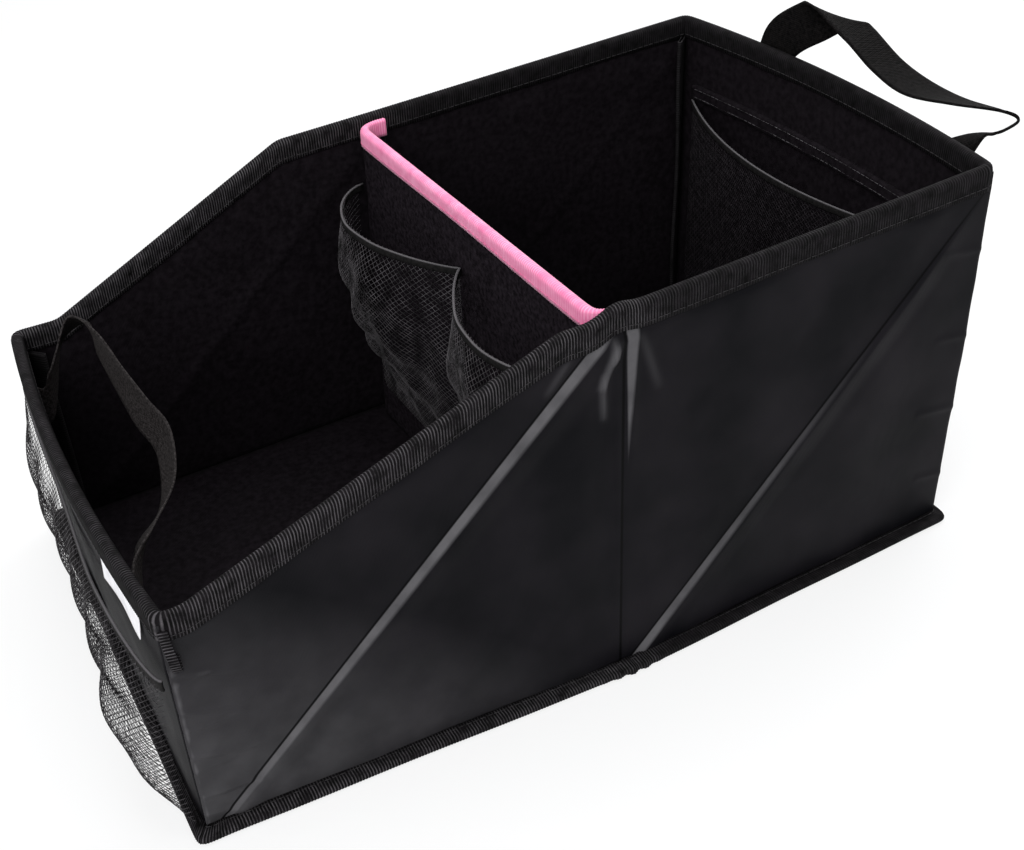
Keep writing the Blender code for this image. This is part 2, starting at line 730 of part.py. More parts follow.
def make_handle(webbing):
    """Webbing sewn by both ends to the rear wall, folded over and lying in a slack loop."""
    rim = REAR_HEIGHT
    low = rim - HANDLE_FOOT_DROP
    rest = HANDLE_THICKNESS / 2 + 2 * GAP

    def seat(y, z):
        return (rear_x(y, z, 0.0) + rest, y, z)

    def along_wall(y):
        step = HANDLE_WIDTH / 2
        rise = rear_x(y + step, low, 0.0) - rear_x(y - step, low, 0.0)
        return Vector((rise, HANDLE_WIDTH, 0.0)).normalized()

    def over_rim(y, z):
        return (rear_x(y, rim, -RIM_SLOT - TAPE) + rest, y, z)

    def loose(out, along, up):
        return (REAR + HANDLE_REACH * out, HALF_WIDTH * along, rim + HANDLE_RISE * up)

    far = HANDLE_FAR_FOOT
    near = HANDLE_NEAR_FOOT
    far_edge = -along_wall(far)
    near_edge = along_wall(near)
    across_leg = (0.05, -0.75, -0.65)
    flat_leg = (0.97, 0.20, -0.06)
    on_edge = (0.70, 0.60, -0.38)
    stations = [(seat(far, low), far_edge), (over_rim(far - 0.001, rim - 0.014), across_leg),
                (loose(0.31, 0.40, 0.15), across_leg), (loose(0.37, 0.26, 0.67), across_leg),
                (loose(0.44, 0.12, 1.00), (0.75, -0.55, -0.35)), (loose(0.51, -0.01, 0.78), flat_leg),
                (loose(0.60, -0.17, 0.33), flat_leg), (loose(0.70, -0.33, 0.07), flat_leg),
                (loose(0.84, -0.51, 0.04), (0.85, 0.45, -0.25)), (loose(1.00, -0.71, 0.11), on_edge),
                (loose(1.01, -0.78, 0.07), on_edge), (loose(0.79, -0.80, 0.02), on_edge),
                (loose(0.58, -0.80, 0.00), on_edge), (loose(0.36, -0.77, -0.02), (0.45, 0.82, -0.35)),
                (over_rim(near - 0.004, rim - 0.014), near_edge),
                (over_rim(near, rim - 0.028), near_edge), (seat(near, low), near_edge)]
    route, widths = zip(*stations)
    return ribbon("handle", route, widths, HANDLE_WIDTH, HANDLE_THICKNESS, 4, webbing)


def make_strap(elastic):
    """Strap sewn by both ends to the inside of the front wall, bowed into the bag."""
    z = FRONT_HEIGHT - RIM_TAPE_DEPTH - 2 * GAP - STRAP_WIDTH / 2
    rest = WALL + 2 * GAP + STRAP_THICKNESS / 2
    foot = STRAP_FOOT

    def seat(y):
        return (front_x(y, z, rest), y, z)

    def loose(out, along, up):
        return (FRONT + STRAP_REACH * out, foot * along, z + STRAP_RISE * up)

    upright = (0.0, 0.0, 1.0)
    stations = [(seat(foot), upright), (loose(0.12, 0.99, 0.00), upright),
                (loose(0.35, 1.02, 0.57), (-0.35, -0.92, 0.18)),
                (loose(0.66, 0.97, 0.96), (-0.50, -0.55, 0.60)),
                (loose(0.75, 0.75, 0.84), (0.02, -0.46, 0.89)),
                (loose(0.83, 0.53, 0.58), (0.19, -0.45, 0.87)),
                (loose(0.91, 0.31, 0.36), (0.34, -0.35, 0.87)),
                (loose(1.00, 0.10, 0.18), (0.38, -0.28, 0.88)),
                (loose(0.78, -0.30, 0.09), (0.47, -0.16, 0.87)),
                (loose(0.34, -0.66, 0.19), (0.51, -0.31, 0.80)),
                (loose(0.13, -0.86, 0.06), upright), (seat(-foot), upright)]
    route, widths = zip(*stations)
    return ribbon("inner_strap", route, widths, STRAP_WIDTH, STRAP_THICKNESS, 4, elastic)


def make_label(paper):
    """Cloth label sewn in under the front rim tape, its lower edge standing off the wall."""
    top = FRONT_HEIGHT - RIM_TAPE_DEPTH - GAP
    start = -HALF_WIDTH + LABEL_FROM_NEAR
    rows = [[(front_x(y, z, -GAP - lean), y, z) for y in spread(start, start + LABEL_LENGTH, 4)]
            for z, lean in ((top - LABEL_HEIGHT, LABEL_LEAN), (top, 0.0))]
    bm = quads(rows)
    face_out(bm, Vector((1.0, 0.0, 0.0)))
    solidify(add_object("side_label", mesh_from(bm, "side_label"), paper), LABEL_THICKNESS, -1.0)


def main():
    cloth = material("coated_cloth", (0.012, 0.012, 0.013), 0.45)
    lining = material("lining_cloth", (0.010, 0.009, 0.011), 0.85)
    board = material("stiff_board", (0.32, 0.25, 0.17), 0.8)
    tape = material("binding_tape", (0.014, 0.014, 0.015), 0.7)
    felt = material("divider_felt", (0.016, 0.015, 0.017), 0.95)
    pink = material("pink_tape", (0.90, 0.23, 0.45), 0.55)
    mesh = material("pocket_mesh", (0.015, 0.015, 0.016), 0.6)
    elastic = material("elastic_edge", (0.02, 0.02, 0.02), 0.7)
    webbing = material("webbing", (0.018, 0.018, 0.018), 0.75)
    paper = material("label", (0.85, 0.85, 0.85), 0.5)
    make_outer(cloth)
    make_lining(lining)
    make_boards(board)
    make_bindings(tape)
    make_divider(felt, board, pink)
    make_pockets(mesh, elastic, lining)
    make_handle(webbing)
    make_strap(elastic)
    make_label(paper)


clear_scene()
BAG = new_collection("car_organizer_bag")
main()
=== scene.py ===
"""Looks of the folding car organizer bag: fine cloth, nets, bindings and threads over its solids.

Metres, +Z up. +X runs from the low front wall to the high rear wall, and -Y is the near side.
"""
import math
from itertools import combinations

import bpy
import numpy as np
from mathutils import Matrix, Vector


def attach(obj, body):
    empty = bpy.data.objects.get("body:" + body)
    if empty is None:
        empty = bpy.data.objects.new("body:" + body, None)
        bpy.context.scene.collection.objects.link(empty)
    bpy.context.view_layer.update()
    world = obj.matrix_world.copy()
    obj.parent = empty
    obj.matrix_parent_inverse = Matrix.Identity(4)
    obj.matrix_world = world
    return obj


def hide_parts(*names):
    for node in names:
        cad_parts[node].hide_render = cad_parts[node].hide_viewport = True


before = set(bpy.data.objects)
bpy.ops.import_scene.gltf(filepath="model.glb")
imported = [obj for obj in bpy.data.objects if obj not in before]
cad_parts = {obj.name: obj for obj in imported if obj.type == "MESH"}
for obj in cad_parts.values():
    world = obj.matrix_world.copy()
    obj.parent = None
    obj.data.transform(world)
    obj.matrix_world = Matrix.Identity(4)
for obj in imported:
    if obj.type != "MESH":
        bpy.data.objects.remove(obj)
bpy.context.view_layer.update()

# Body, as its solids have it
LENGTH = 0.430
WIDTH = 0.257
FRONT_HEIGHT = 0.130
SLOPE_HEIGHT = 0.200
FOLD_HEIGHT = 0.203
REAR_HEIGHT = 0.216
NEAR_LEVEL = 0.012
FAR_LEVEL = 0.024
NEAR_SLOPE_LENGTH = 0.190
FAR_SLOPE_LENGTH = 0.160
FOLD_DISTANCE = 0.215
SIDE_PUSH = 0.009
FRONT_BOW = 0.008
REAR_BOW = 0.011
CLOTH = 0.0006
BOARD = 0.0018
LINING = 0.0006
GAP = 0.0003
WALL = CLOTH + GAP + BOARD + GAP + LINING
LINING_INSET = CLOTH + GAP + BOARD + GAP
CREASE_INSET = 0.010
CREASE_DROP = 0.012
FLOOR_TOP = 0.0036
WALL_BOTTOM = 0.0026
WALL_TOP_DROP = 0.004

# Binding tape
TAPE = 0.0008
RIM_TAPE_DEPTH = 0.0125
RIM_SLOT = 0.0005
SIDE_FLANGE = 0.0080
FRONT_FLANGE = 0.0060
REAR_FLANGE = 0.0032
FLANGE_START = 0.0006
FLANGE_TOP = 0.0037
CORNER_TAPE_DEPTH = 0.011
RIB_STEP = 0.00075
RIB_DEPTH = 0.00012
PINK_RIB_DEPTH = 0.00013
CORNER_TAPE_HALF = 0.0012
RIM_SEAM_DROP = RIM_TAPE_DEPTH - 0.0022
BASE_SEAM_SHARE = 0.22
RIM_ROUNDING = 20
BASE_ROUNDING = 45

# Divider
DIVIDER_HEIGHT = 0.200
DIVIDER_FORWARD = 0.0080
DIVIDER_SKEW = 0.0022
DIVIDER_BOARD = 0.0016
DIVIDER_STACK = CLOTH + GAP + DIVIDER_BOARD + GAP + CLOTH
DIVIDER_TAIL = 0.007
DIVIDER_BEND = 0.004
DIVIDER_TAPE_DEPTH = 0.0095
DIVIDER_TAIL_SLOT = 0.0006
TAIL_CLEARANCE = RIM_SLOT + TAPE + 2 * GAP + CLOTH / 2 + DIVIDER_TAIL_SLOT + TAPE

# Net pockets
NET_REST = 0.0012
NET_CELL = 0.0023
FRONT_STRAND = 0.00019
DIVIDER_STRAND = 0.00016
REAR_STRAND = 0.00026
ELASTIC_THICKNESS = 0.0012
FRONT_POCKET_HEIGHT = 0.096
FRONT_POCKET_BULGE = 0.018
FRONT_POCKET_EDGE_SHARE = 0.36
FRONT_POCKET_PINCH = 0.25
FRONT_ELASTIC = 0.006
DIVIDER_POCKET_BOTTOM = 0.030
DIVIDER_POCKET_HEIGHT = 0.167
DIVIDER_POUCH_TOP = 0.0275
DIVIDER_POUCH_MIDDLE = 0.030
DIVIDER_POUCH_SKEW = 1.3
DIVIDER_ELASTIC = 0.004
REAR_POCKET_BOTTOM = 0.030
REAR_POCKET_HEIGHT = 0.167
REAR_POCKET_BULGE = 0.034
REAR_ELASTIC = 0.004
POCKET_MARGIN = 0.012
REAR_POCKET_HALF = WIDTH / 2 - WALL - POCKET_MARGIN
SLIP_POCKET_HEIGHT = 0.176
SLIP_HEM = 0.008
SLIP_HEM_FOLD = 0.0018

# Webbing, strap, label and threads
HANDLE_WIDTH = 0.026
HANDLE_THICKNESS = 0.0016
HANDLE_FAR_FOOT = 0.060
HANDLE_NEAR_FOOT = -0.086
HANDLE_FOOT_DROP = 0.052
HANDLE_REACH = 0.043
HANDLE_RISE = 0.027
HANDLE_STITCH_INSET = 0.003
HANDLE_STITCH_TOP = 0.022
STRAP_WIDTH = 0.020
STRAP_THICKNESS = 0.0012
STRAP_FOOT = 0.088
STRAP_REACH = 0.044
STRAP_RISE = 0.045
LABEL_LENGTH = 0.047
LABEL_HEIGHT = 0.014
LABEL_THICKNESS = 0.0004
LABEL_LEAN = 0.0012
LABEL_FROM_NEAR = 0.0215
STITCH = 0.0030
STITCH_GAP = 0.0008
THREAD_RADIUS = 0.00022

# Camera, fitted to the bag's straight edges in the 1024 x 850 picture
IMAGE_WIDTH = 1024
CAMERA_PLACE = (-0.2715, -0.5537, 0.5059)
CAMERA_HEADING = 27.41
CAMERA_TILT = 35.59
CAMERA_ROLL = -2.58
FOCAL_PIXELS = 1376.9

# White floor under the bag
FLOOR_REACH = 6.0
FLOOR_DROP = 0.0002
FLOOR_GLOW = 0.72

FRONT = -LENGTH / 2
REAR = LENGTH / 2
HALF_WIDTH = WIDTH / 2
FOLD = FRONT + FOLD_DISTANCE
NEAR = -1
FAR = 1
SIDES = {"near": NEAR, "far": FAR}
FRONT_CREASE = ((FRONT + CREASE_INSET, 0.0), (FOLD, FOLD_HEIGHT - CREASE_DROP))
REAR_CREASE = ((FOLD + CREASE_INSET, 0.0), (REAR, REAR_HEIGHT - CREASE_DROP))

# Folds of a side wall, raised and lit by a painted highlight: pairs of (x, z) lines, the upper and the
# lower edge of each
FOLD_HIGHLIGHT_STRIPS = [(((-0.2011, 0.0093), (-0.0281, 0.1729)), ((-0.1994, 0.0047), (-0.0246, 0.1676))),
               (((0.0073, 0.0045), (0.1355, 0.1290)), ((0.0150, 0.0040), (0.1370, 0.1262))),
               (((FOLD + 0.0055, 0.0), (FOLD + 0.0060, 0.2)),
                ((FOLD + 0.0074, 0.133), (FOLD + 0.0140, 0.197)))]
# Line of the middle fold, along which a thin line of painted shade runs
MIDDLE_SHADE_LINE = ((FOLD, 0.0), (FOLD + 0.0055, 0.2))
# x where the rear fold's painted highlight has faded out, and where it is full
REAR_HIGHLIGHT_FADING = (0.15, 0.02)
# Half widths of the painted shade lines along the folds
FOLD_SHADE_HALF = 0.0008
MIDDLE_SHADE_HALF = 0.0010
# Colour of the painted highlights on a side wall
PAINTED_HIGHLIGHT_COLOR = (0.098, 0.095, 0.100)
# Colour of the painted shade in the fold valleys
FOLD_SHADE_COLOR = (0.0005, 0.0005, 0.0006)

# The painted reflection that pales the low front of a side wall: the (x, z) way to it, its reach and its
# share of the highlight colour
TO_LOW_FRONT = (-0.6, -0.8)
LOW_FRONT_REACH = 0.13
LOW_FRONT_REFLECTION = 0.62

# Small puckers from the front edge of a side wall: height, reach, slope and depth
FRONT_PUCKERS = ((0.012, 0.020, -0.4, 0.0006), (0.024, 0.030, -0.2, 0.0009),
                 (0.038, 0.022, 0.1, 0.0006), (0.050, 0.034, -0.3, 0.0010),
                 (0.064, 0.026, 0.0, 0.0007), (0.078, 0.030, -0.5, 0.0009),
                 (0.090, 0.020, 0.2, 0.0006), (0.100, 0.032, -0.4, 0.0008))
# Small puckers from its rear edge: height, reach and depth
REAR_PUCKERS = ((0.030, 0.020, 0.0006), (0.075, 0.028, 0.0008),
                (0.120, 0.022, 0.0006), (0.170, 0.026, 0.0007))


# Shape of the walls

def plane_through(points):
    """Slope along x, slope along z and level of the plane through three (x, z, value) points."""
    return np.linalg.solve([(x, z, 1.0) for x, z, value in points], [p[2] for p in points])


def on_plane(plane, x, z):
    return plane[0] * x + plane[1] * z + plane[2]


def over_line(line, x, z):
    """Signed distance above a line through two (x, z) points, square to it."""
    (x0, z0), (x1, z1) = line
    return ((z - z0) * (x1 - x0) - (x - x0) * (z1 - z0)) / math.hypot(x1 - x0, z1 - z0)


FOLD_FOOT = (FOLD, 0.0, SIDE_PUSH)
FRONT_LOWER = plane_through([(*FRONT_CREASE[0], 0.0), FOLD_FOOT, (*FRONT_CREASE[1], 0.0)])
REAR_UPPER = plane_through([FOLD_FOOT, (FOLD, FOLD_HEIGHT, 0.0), (REAR, REAR_HEIGHT, 0.0)])
REAR_LOWER = plane_through([(*REAR_CREASE[0], on_plane(REAR_UPPER, *REAR_CREASE[0])),
                            (REAR, 0.0, 0.0),
                            (*REAR_CREASE[1], on_plane(REAR_UPPER, *REAR_CREASE[1]))])


def side_push(x, z):
    """How far the side wall stands out from straight."""
    ahead = np.where(over_line(FRONT_CREASE, x, z) >= 0, 0.0, on_plane(FRONT_LOWER, x, z))
    behind = np.where(over_line(REAR_CREASE, x, z) >= 0, on_plane(REAR_UPPER, x, z),
                      on_plane(REAR_LOWER, x, z))
    return np.where(x < FOLD, ahead, behind)


def end_bow(y, z, height, bow):
    return bow * np.clip(1 - (y / HALF_WIDTH) ** 2, 0, None) * np.clip(z / height, 0, 1)


def front_x(y, z, inward):
    return FRONT - end_bow(y, z, FRONT_HEIGHT, FRONT_BOW) + inward


def rear_x(y, z, inward):
    return REAR + end_bow(y, z, REAR_HEIGHT, REAR_BOW) - inward


def rim_height(side, x):
    level, slope = (NEAR_LEVEL, NEAR_SLOPE_LENGTH) if side == NEAR else (FAR_LEVEL, FAR_SLOPE_LENGTH)
    return np.interp(x, [FRONT, FRONT + level, FRONT + slope, FOLD, REAR],
                     [FRONT_HEIGHT, FRONT_HEIGHT, SLOPE_HEIGHT, FOLD_HEIGHT, REAR_HEIGHT])


# Mesh tools

def smooth_step(value, low, high):
    t = np.clip((value - low) / (high - low), 0, 1)
    return t * t * (3 - 2 * t)


def hump(away, width):
    return np.exp(-(away / width) ** 2)


def unit(vectors):
    return vectors / np.maximum(np.linalg.norm(vectors, axis=-1, keepdims=True), 1e-12)


def distances(line):
    """Distance of each point along a line."""
    return np.concatenate([[0], np.cumsum(np.linalg.norm(np.diff(line, axis=0), axis=1))])


def even_grid(low, high, columns, bottom, top, rows):
    """Even values across and up, shaped to fit each other."""
    return np.linspace(low, high, columns)[None, :], np.linspace(bottom, top, rows)[:, None]


def ridge(x, z, start, end, width, height):
    """A soft ridge along a line, thinning out towards both ends."""
    along = np.array(end) - np.array(start)
    share = ((x - start[0]) * along[0] + (z - start[1]) * along[1]) / np.hypot(*along) ** 2
    taper = np.clip(share, 0, 1) * np.clip(1 - share, 0, 1) * 4
    return height * np.sqrt(taper) * hump(over_line((start, end), x, z), width)


def ripple(x, z, seed, wavelength, height):
    """Soft uneven waves, the same ones for the same seed."""
    draw = np.random.default_rng(seed)
    total = np.zeros(np.broadcast(x, z).shape)
    count = 7
    for _ in range(count):
        heading = draw.uniform(0, math.pi)
        number = 2 * math.pi / (wavelength * draw.uniform(0.6, 1.6))
        phase = draw.uniform(0, 2 * math.pi)
        total += np.sin((x * math.cos(heading) + z * math.sin(heading)) * number + phase)
    return height * total / count


def slack(x, z, seed, wavelength, height, mean, most=None):
    """Uneven waves about a mean, none of them below 0 or over the most."""
    return np.clip(mean + ripple(x, z, seed, wavelength, height), 0, most)


def join(*parts):
    """One array of points from x, y and z values of any matching shapes."""
    return np.stack(np.broadcast_arrays(*parts), axis=-1).astype(float)


def placed(name, data):
    """A new object in the scene."""
    made = bpy.data.objects.new(name, data)
    bpy.context.scene.collection.objects.link(made)
    return made


def smooth_mesh(name, points, faces, finish):
    mesh = bpy.data.meshes.new(name)
    mesh.from_pydata(points.tolist(), [], faces)
    mesh.materials.append(finish)
    mesh.shade_smooth()
    return placed(name, mesh)


def surface(name, points, finish, thickness, offset=-1.0, uv=None, outward=None, tone=None):
    """A smooth sheet through rows of points, with its thickness laid on the inner side."""
    rows, columns = points.shape[:2]
    index = np.arange(rows * columns).reshape(rows, columns)
    faces = np.stack([index[:-1, :-1], index[:-1, 1:], index[1:, 1:], index[1:, :-1]], axis=-1)
    faces = faces.reshape(-1, 4)
    flat = points.reshape(-1, 3)
    if outward is not None:
        corner, side, up = flat[faces[:, 0]], flat[faces[:, 1]], flat[faces[:, 3]]
        if (np.cross(side - corner, up - corner).sum(0) @ np.array(outward)) < 0:
            faces = faces[:, ::-1]
    made = smooth_mesh(name, flat, faces.tolist(), finish)
    mesh = made.data
    if uv is not None:
        layer = mesh.uv_layers.new(name="UVMap")
        corners = np.zeros(len(mesh.loops), dtype=int)
        mesh.loops.foreach_get("vertex_index", corners)
        layer.data.foreach_set("uv", uv.reshape(-1, 2)[corners].astype(np.float32).ravel())
    if tone is not None:
        lightened = mesh.attributes.new("tone", "FLOAT", "POINT")
        lightened.data.foreach_set("value", np.clip(tone, 0, 1).astype(np.float32).ravel())
    shell = made.modifiers.new("Solidify", "SOLIDIFY")
    shell.thickness = thickness
    shell.offset = offset
    return made


def ribbed(points, depth=RIB_DEPTH):
    """Rows raised and lowered in turn, as the cross ribs of a woven tape."""
    turn = np.where(np.arange(len(points)) % 2 == 0, 1.0, -1.0)[:, None, None]
    normals = unit(np.cross(np.gradient(points, axis=0), np.gradient(points, axis=1)))
    return points + normals * turn * depth


def strip_uv(grid):
    """Flat distances along and across a strip of tape."""
    along = distances(grid[:, grid.shape[1] // 2])
    return np.stack(np.broadcast_arrays(along[:, None], distances(grid[0])[None, :]), axis=-1)


def resampled(points, step, closed=False):
    """Points at even spacing along a line."""
    points = np.array(points, dtype=float)
    if closed:
        points = np.vstack([points, points[:1]])
    run = distances(points)
    count = int(run[-1] / step) // 2 * 2
    at = np.linspace(0, run[-1], count + 1)
    return np.stack([np.interp(at, run, points[:, i]) for i in range(3)], axis=1)


def rounded(points, passes, closed=False):
    """A line with its corners worn round, its two ends kept."""
    line = points.copy()
    for _ in range(passes):
        if closed:
            body = line[:-1]
            body = (np.roll(body, 1, axis=0) + 2 * body + np.roll(body, -1, axis=0)) / 4
            line = np.vstack([body, body[:1]])
        else:
            line[1:-1] = (line[:-2] + 2 * line[1:-1] + line[2:]) / 4
    return line


def curve_through(points):
    """Points along a Catmull-Rom curve through the given ones."""
    steps = 12
    points = [np.array(p, dtype=float) for p in points]
    padded = [points[0], *points, points[-1]]
    line = []
    for a, b, c, d in zip(padded, padded[1:], padded[2:], padded[3:]):
        for t in np.arange(steps) / steps:
            line.append(0.5 * ((2 * b) + (c - a) * t + (2 * a - 5 * b + 4 * c - d) * t ** 2
                               + (3 * b - a - 3 * c + d) * t ** 3))
    return np.array([*line, points[-1]])


def tubes(name, lines, radius, sides, finish, facing):
    """Closed thin tubes along many lines, in one mesh."""
    vertices = []
    faces = []
    first = 0
    angles = 2 * math.pi * np.arange(sides) / sides
    for line in lines:
        along = unit(np.gradient(line, axis=0))
        beside = unit(np.cross(along, np.array(facing, dtype=float)))
        above = np.cross(beside, along)
        ring = (line[:, None] + radius * (np.cos(angles)[None, :, None] * above[:, None]
                                          + np.sin(angles)[None, :, None] * beside[:, None]))
        vertices.append(ring.reshape(-1, 3))
        index = first + np.arange(len(line) * sides).reshape(-1, sides)
        first += index.size
        turned = np.roll(index, -1, axis=1)
        faces += np.stack([index[:-1], turned[:-1], turned[1:], index[1:]], -1).reshape(-1, 4).tolist()
        faces += [index[0][::-1].tolist(), index[-1].tolist()]
    return smooth_mesh(name, np.vstack(vertices), faces, finish)


def stitched(name, lines, finish, facing=(0, 0, 1)):
    """Rows of separate stitches along the given lines."""
    threads = []
    for line in lines:
        dense = resampled(line, (STITCH + STITCH_GAP) / 8)
        threads += [dense[start:start + 7:2] for start in range(0, len(dense) - 8, 8)]
    return tubes(name, threads, THREAD_RADIUS, 4, finish, facing)


def net(name, point, half, bottom, top, radius, finish):
    """A diamond net over a surface, whose function gives the points at flat distances."""
    width = 2 * half
    height = top - bottom
    spacing = NET_CELL * math.sqrt(2)
    step = spacing / 2
    lines = []
    for lean in (-1, 1):
        for k in range(int((width + height) / spacing) + 1):
            start = k * spacing
            rise = np.arange(0, height + step / 2, step)
            across = start - rise if lean < 0 else start - height + rise
            inside = (across >= 0) & (across <= width)
            if inside.sum() < 3:
                continue
            points = point(across[inside] - half, bottom + rise[inside])
            weave = np.where(np.arange(len(points)) % 2 == 0, 1.0, -1.0)
            points[:, 0] += weave * lean * radius * 0.6
            lines.append(points)
    return tubes(name, lines, radius, 3, finish, (1, 0, 0))


# Materials

# Each look: its material's name, its colour, roughness and specular level, then the dark and the
# light tone that its colour varies between, with the scale and the detail of that unevenness
LOOKS = {
    "cloth": ("coated_cloth_look", (0.006, 0.006, 0.007), 0.55, 0.04,
              (0.004, 0.004, 0.005), (0.010, 0.009, 0.011), 9.0, 4.0),
    "panel": ("painted_light_panel_look", (0.005, 0.005, 0.006), 0.50, 0.05,
              (0.003, 0.003, 0.004), (0.009, 0.008, 0.010), 22.0, 4.0),
    "lining": ("lining_look", (0.004, 0.003, 0.004), 0.85, 0.10,
               (0.002, 0.001, 0.002), (0.008, 0.006, 0.008), 300.0, 8.0),
    "tape": ("binding_look", (0.006, 0.006, 0.006), 0.75, 0.05,
             (0.002, 0.002, 0.002), (0.007, 0.006, 0.007), 260.0, 4.0),
    "dim": ("inner_tape_look", (0.006, 0.006, 0.006), 0.75, 0.12,
            (0.003, 0.003, 0.003), (0.008, 0.007, 0.008), 260.0, 4.0),
    "felt": ("felt_look", (0.010, 0.008, 0.010), 0.95, 0.06,
             (0.003, 0.002, 0.003), (0.018, 0.014, 0.018), 420.0, 9.0),
    "pink": ("pink_tape_look", (0.93, 0.26, 0.46), 0.55, 0.35,
             (0.80, 0.17, 0.36), (0.90, 0.25, 0.45), 180.0, 4.0),
    # One net in three copies: the plain one for the front pocket, a copy lightened with painted
    # highlights for the divider's pouches and the slip pocket's stitches, and a copy darkened with
    # painted shade for the rear pocket inside the bag
    "net": ("net_look", (0.020, 0.018, 0.020), 0.65, 0.20,
            (0.005, 0.004, 0.005), (0.075, 0.070, 0.075), 260.0, 8.0),
    "bright": ("painted_lit_net_look", (0.020, 0.018, 0.020), 0.60, 0.25,
               (0.003, 0.003, 0.003), (0.120, 0.112, 0.120), 130.0, 9.0),
    "shaded": ("shaded_net_look", (0.012, 0.010, 0.012), 0.70, 0.10,
               (0.004, 0.003, 0.004), (0.030, 0.026, 0.030), 260.0, 8.0),
    "elastic": ("elastic_look", (0.010, 0.009, 0.010), 0.75, 0.12,
                (0.004, 0.004, 0.004), (0.013, 0.012, 0.012), 500.0, 4.0),
    "strap": ("strap_look", (0.014, 0.013, 0.013), 0.75, 0.12,
              (0.004, 0.003, 0.003), (0.034, 0.030, 0.030), 900.0, 4.0),
    "webbing": ("webbing_look", (0.006, 0.005, 0.005), 0.80, 0.03,
                (0.002, 0.002, 0.002), (0.009, 0.008, 0.008), 500.0, 7.0),
    "thread": ("thread_look", (0.020, 0.018, 0.020), 0.60, 0.25,
               (0.008, 0.007, 0.008), (0.032, 0.030, 0.032), 300.0, 4.0),
    "rose": ("pink_thread_look", (0.72, 0.16, 0.32), 0.55, 0.35,
             (0.62, 0.12, 0.27), (0.80, 0.20, 0.38), 300.0, 4.0),
    "paper": ("label_look", (0.83, 0.82, 0.84), 0.55, 0.35,
              (0.76, 0.75, 0.77), (0.88, 0.87, 0.89), 200.0, 4.0),
    "board": ("board_look", (0.30, 0.24, 0.16), 0.8, 0.3,
              (0.26, 0.20, 0.13), (0.36, 0.29, 0.20), 60.0, 4.0)}
# Least and greatest roughness, and the scale of its unevenness
ROUGHNESS = {"cloth": (0.40, 0.58, 40.0), "panel": (0.42, 0.60, 40.0), "lining": (0.75, 0.95, 60.0)}
# Colour of the painted highlights on the ribs, the wave values where they start and are full, and their
# share at the rear
RIB_HIGHLIGHTS = {"tape": ((0.080, 0.075, 0.080), 0.55, 1.0, 0.3),
           "dim": ((0.028, 0.026, 0.028), 0.5, 1.0, 1.0),
           "pink": ((0.99, 0.42, 0.62), 0.45, 1.0, 1.0)}
# Pitch, depth and strength of a weave, and the scale of the grain over it
WEAVES = {"cloth": (0.0006, 0.00003, 0.5, 0.0), "panel": (0.0006, 0.00003, 0.6, 0.0),
          "lining": (0.0008, 0.00004, 0.5, 900.0), "strap": (0.0010, 0.00012, 0.8, 0.0),
          "webbing": (0.0011, 0.00014, 0.8, 0.0), "paper": (0.0005, 0.00003, 0.4, 0.0)}
# Scale, depth and strength of a grain
GRAINS = {"tape": (1800.0, 0.00008, 0.7), "dim": (1800.0, 0.00008, 0.7), "felt": (700.0, 0.0003, 0.9),
          "pink": (1600.0, 0.00006, 0.7), "elastic": (1500.0, 0.00006, 0.7)}
PINK_SHEEN = 0.2
ELASTIC_EDGE_COLOR = (0.10, 0.095, 0.10)
# Where the painted highlights on the rim tape's ribs fade along x, towards the rear
RIB_HIGHLIGHT_FADING = (FOLD + 0.008, FOLD + 0.030)


def add_node(tree, kind, inputs=None, **settings):
    """A new node with its settings, and with a value or another node's output on each input named."""
    made = tree.nodes.new(kind)
    for key, value in settings.items():
        setattr(made, key, value)
    for key, value in (inputs or {}).items():
        if isinstance(value, bpy.types.NodeSocket):
            tree.links.new(value, made.inputs[key])
        else:
            made.inputs[key].default_value = value
    return made


def feed(tree, field, value):
    """Join a value to the material's own shader."""
    tree.links.new(value, tree.nodes["Principled BSDF"].inputs[field])


def calculate(tree, operation, first, second=0.0):
    return add_node(tree, "ShaderNodeMath", {0: first, 1: second}, operation=operation).outputs[0]


def largest(tree, values):
    result = values[0]
    for value in values[1:]:
        result = calculate(tree, "MAXIMUM", result, value)
    return result


def spread(tree, value, low, high, top=1.0, bottom=0.0):
    """A share from the bottom at one value to the top at another."""
    ends = {"Value": value, "From Min": low, "From Max": high, "To Min": bottom, "To Max": top}
    return add_node(tree, "ShaderNodeMapRange", ends).outputs["Result"]


def coordinates(tree, source="Object"):
    return add_node(tree, "ShaderNodeTexCoord").outputs[source]


def noise(tree, scale, detail, source="Object", roughness=0.5):
    inputs = {"Vector": coordinates(tree, source), "Scale": scale, "Detail": detail,
              "Roughness": roughness}
    return add_node(tree, "ShaderNodeTexNoise", inputs).outputs["Fac"]


def waves(tree, pitch, direction, distortion, detail, source="Object"):
    """Even bands square to one direction."""
    inputs = {"Vector": coordinates(tree, source), "Scale": math.pi / (10 * pitch),
              "Distortion": distortion, "Detail": detail}
    return add_node(tree, "ShaderNodeTexWave", inputs, wave_type="BANDS",
                    bands_direction=direction).outputs["Fac"]


def along_axis(tree, x, z):
    """Distance along a direction in the side wall's plane."""
    inputs = {0: coordinates(tree), 1: (x, 0.0, z)}
    return add_node(tree, "ShaderNodeVectorMath", inputs, operation="DOT_PRODUCT").outputs["Value"]


def left_of(tree, line):
    """Distance to the upper left of a line through two (x, z) points."""
    (x0, z0), (x1, z1) = line
    run = math.hypot(x1 - x0, z1 - z0)
    x, z = (z0 - z1) / run, (x1 - x0) / run
    return calculate(tree, "SUBTRACT", along_axis(tree, x, z), x0 * x + z0 * z)


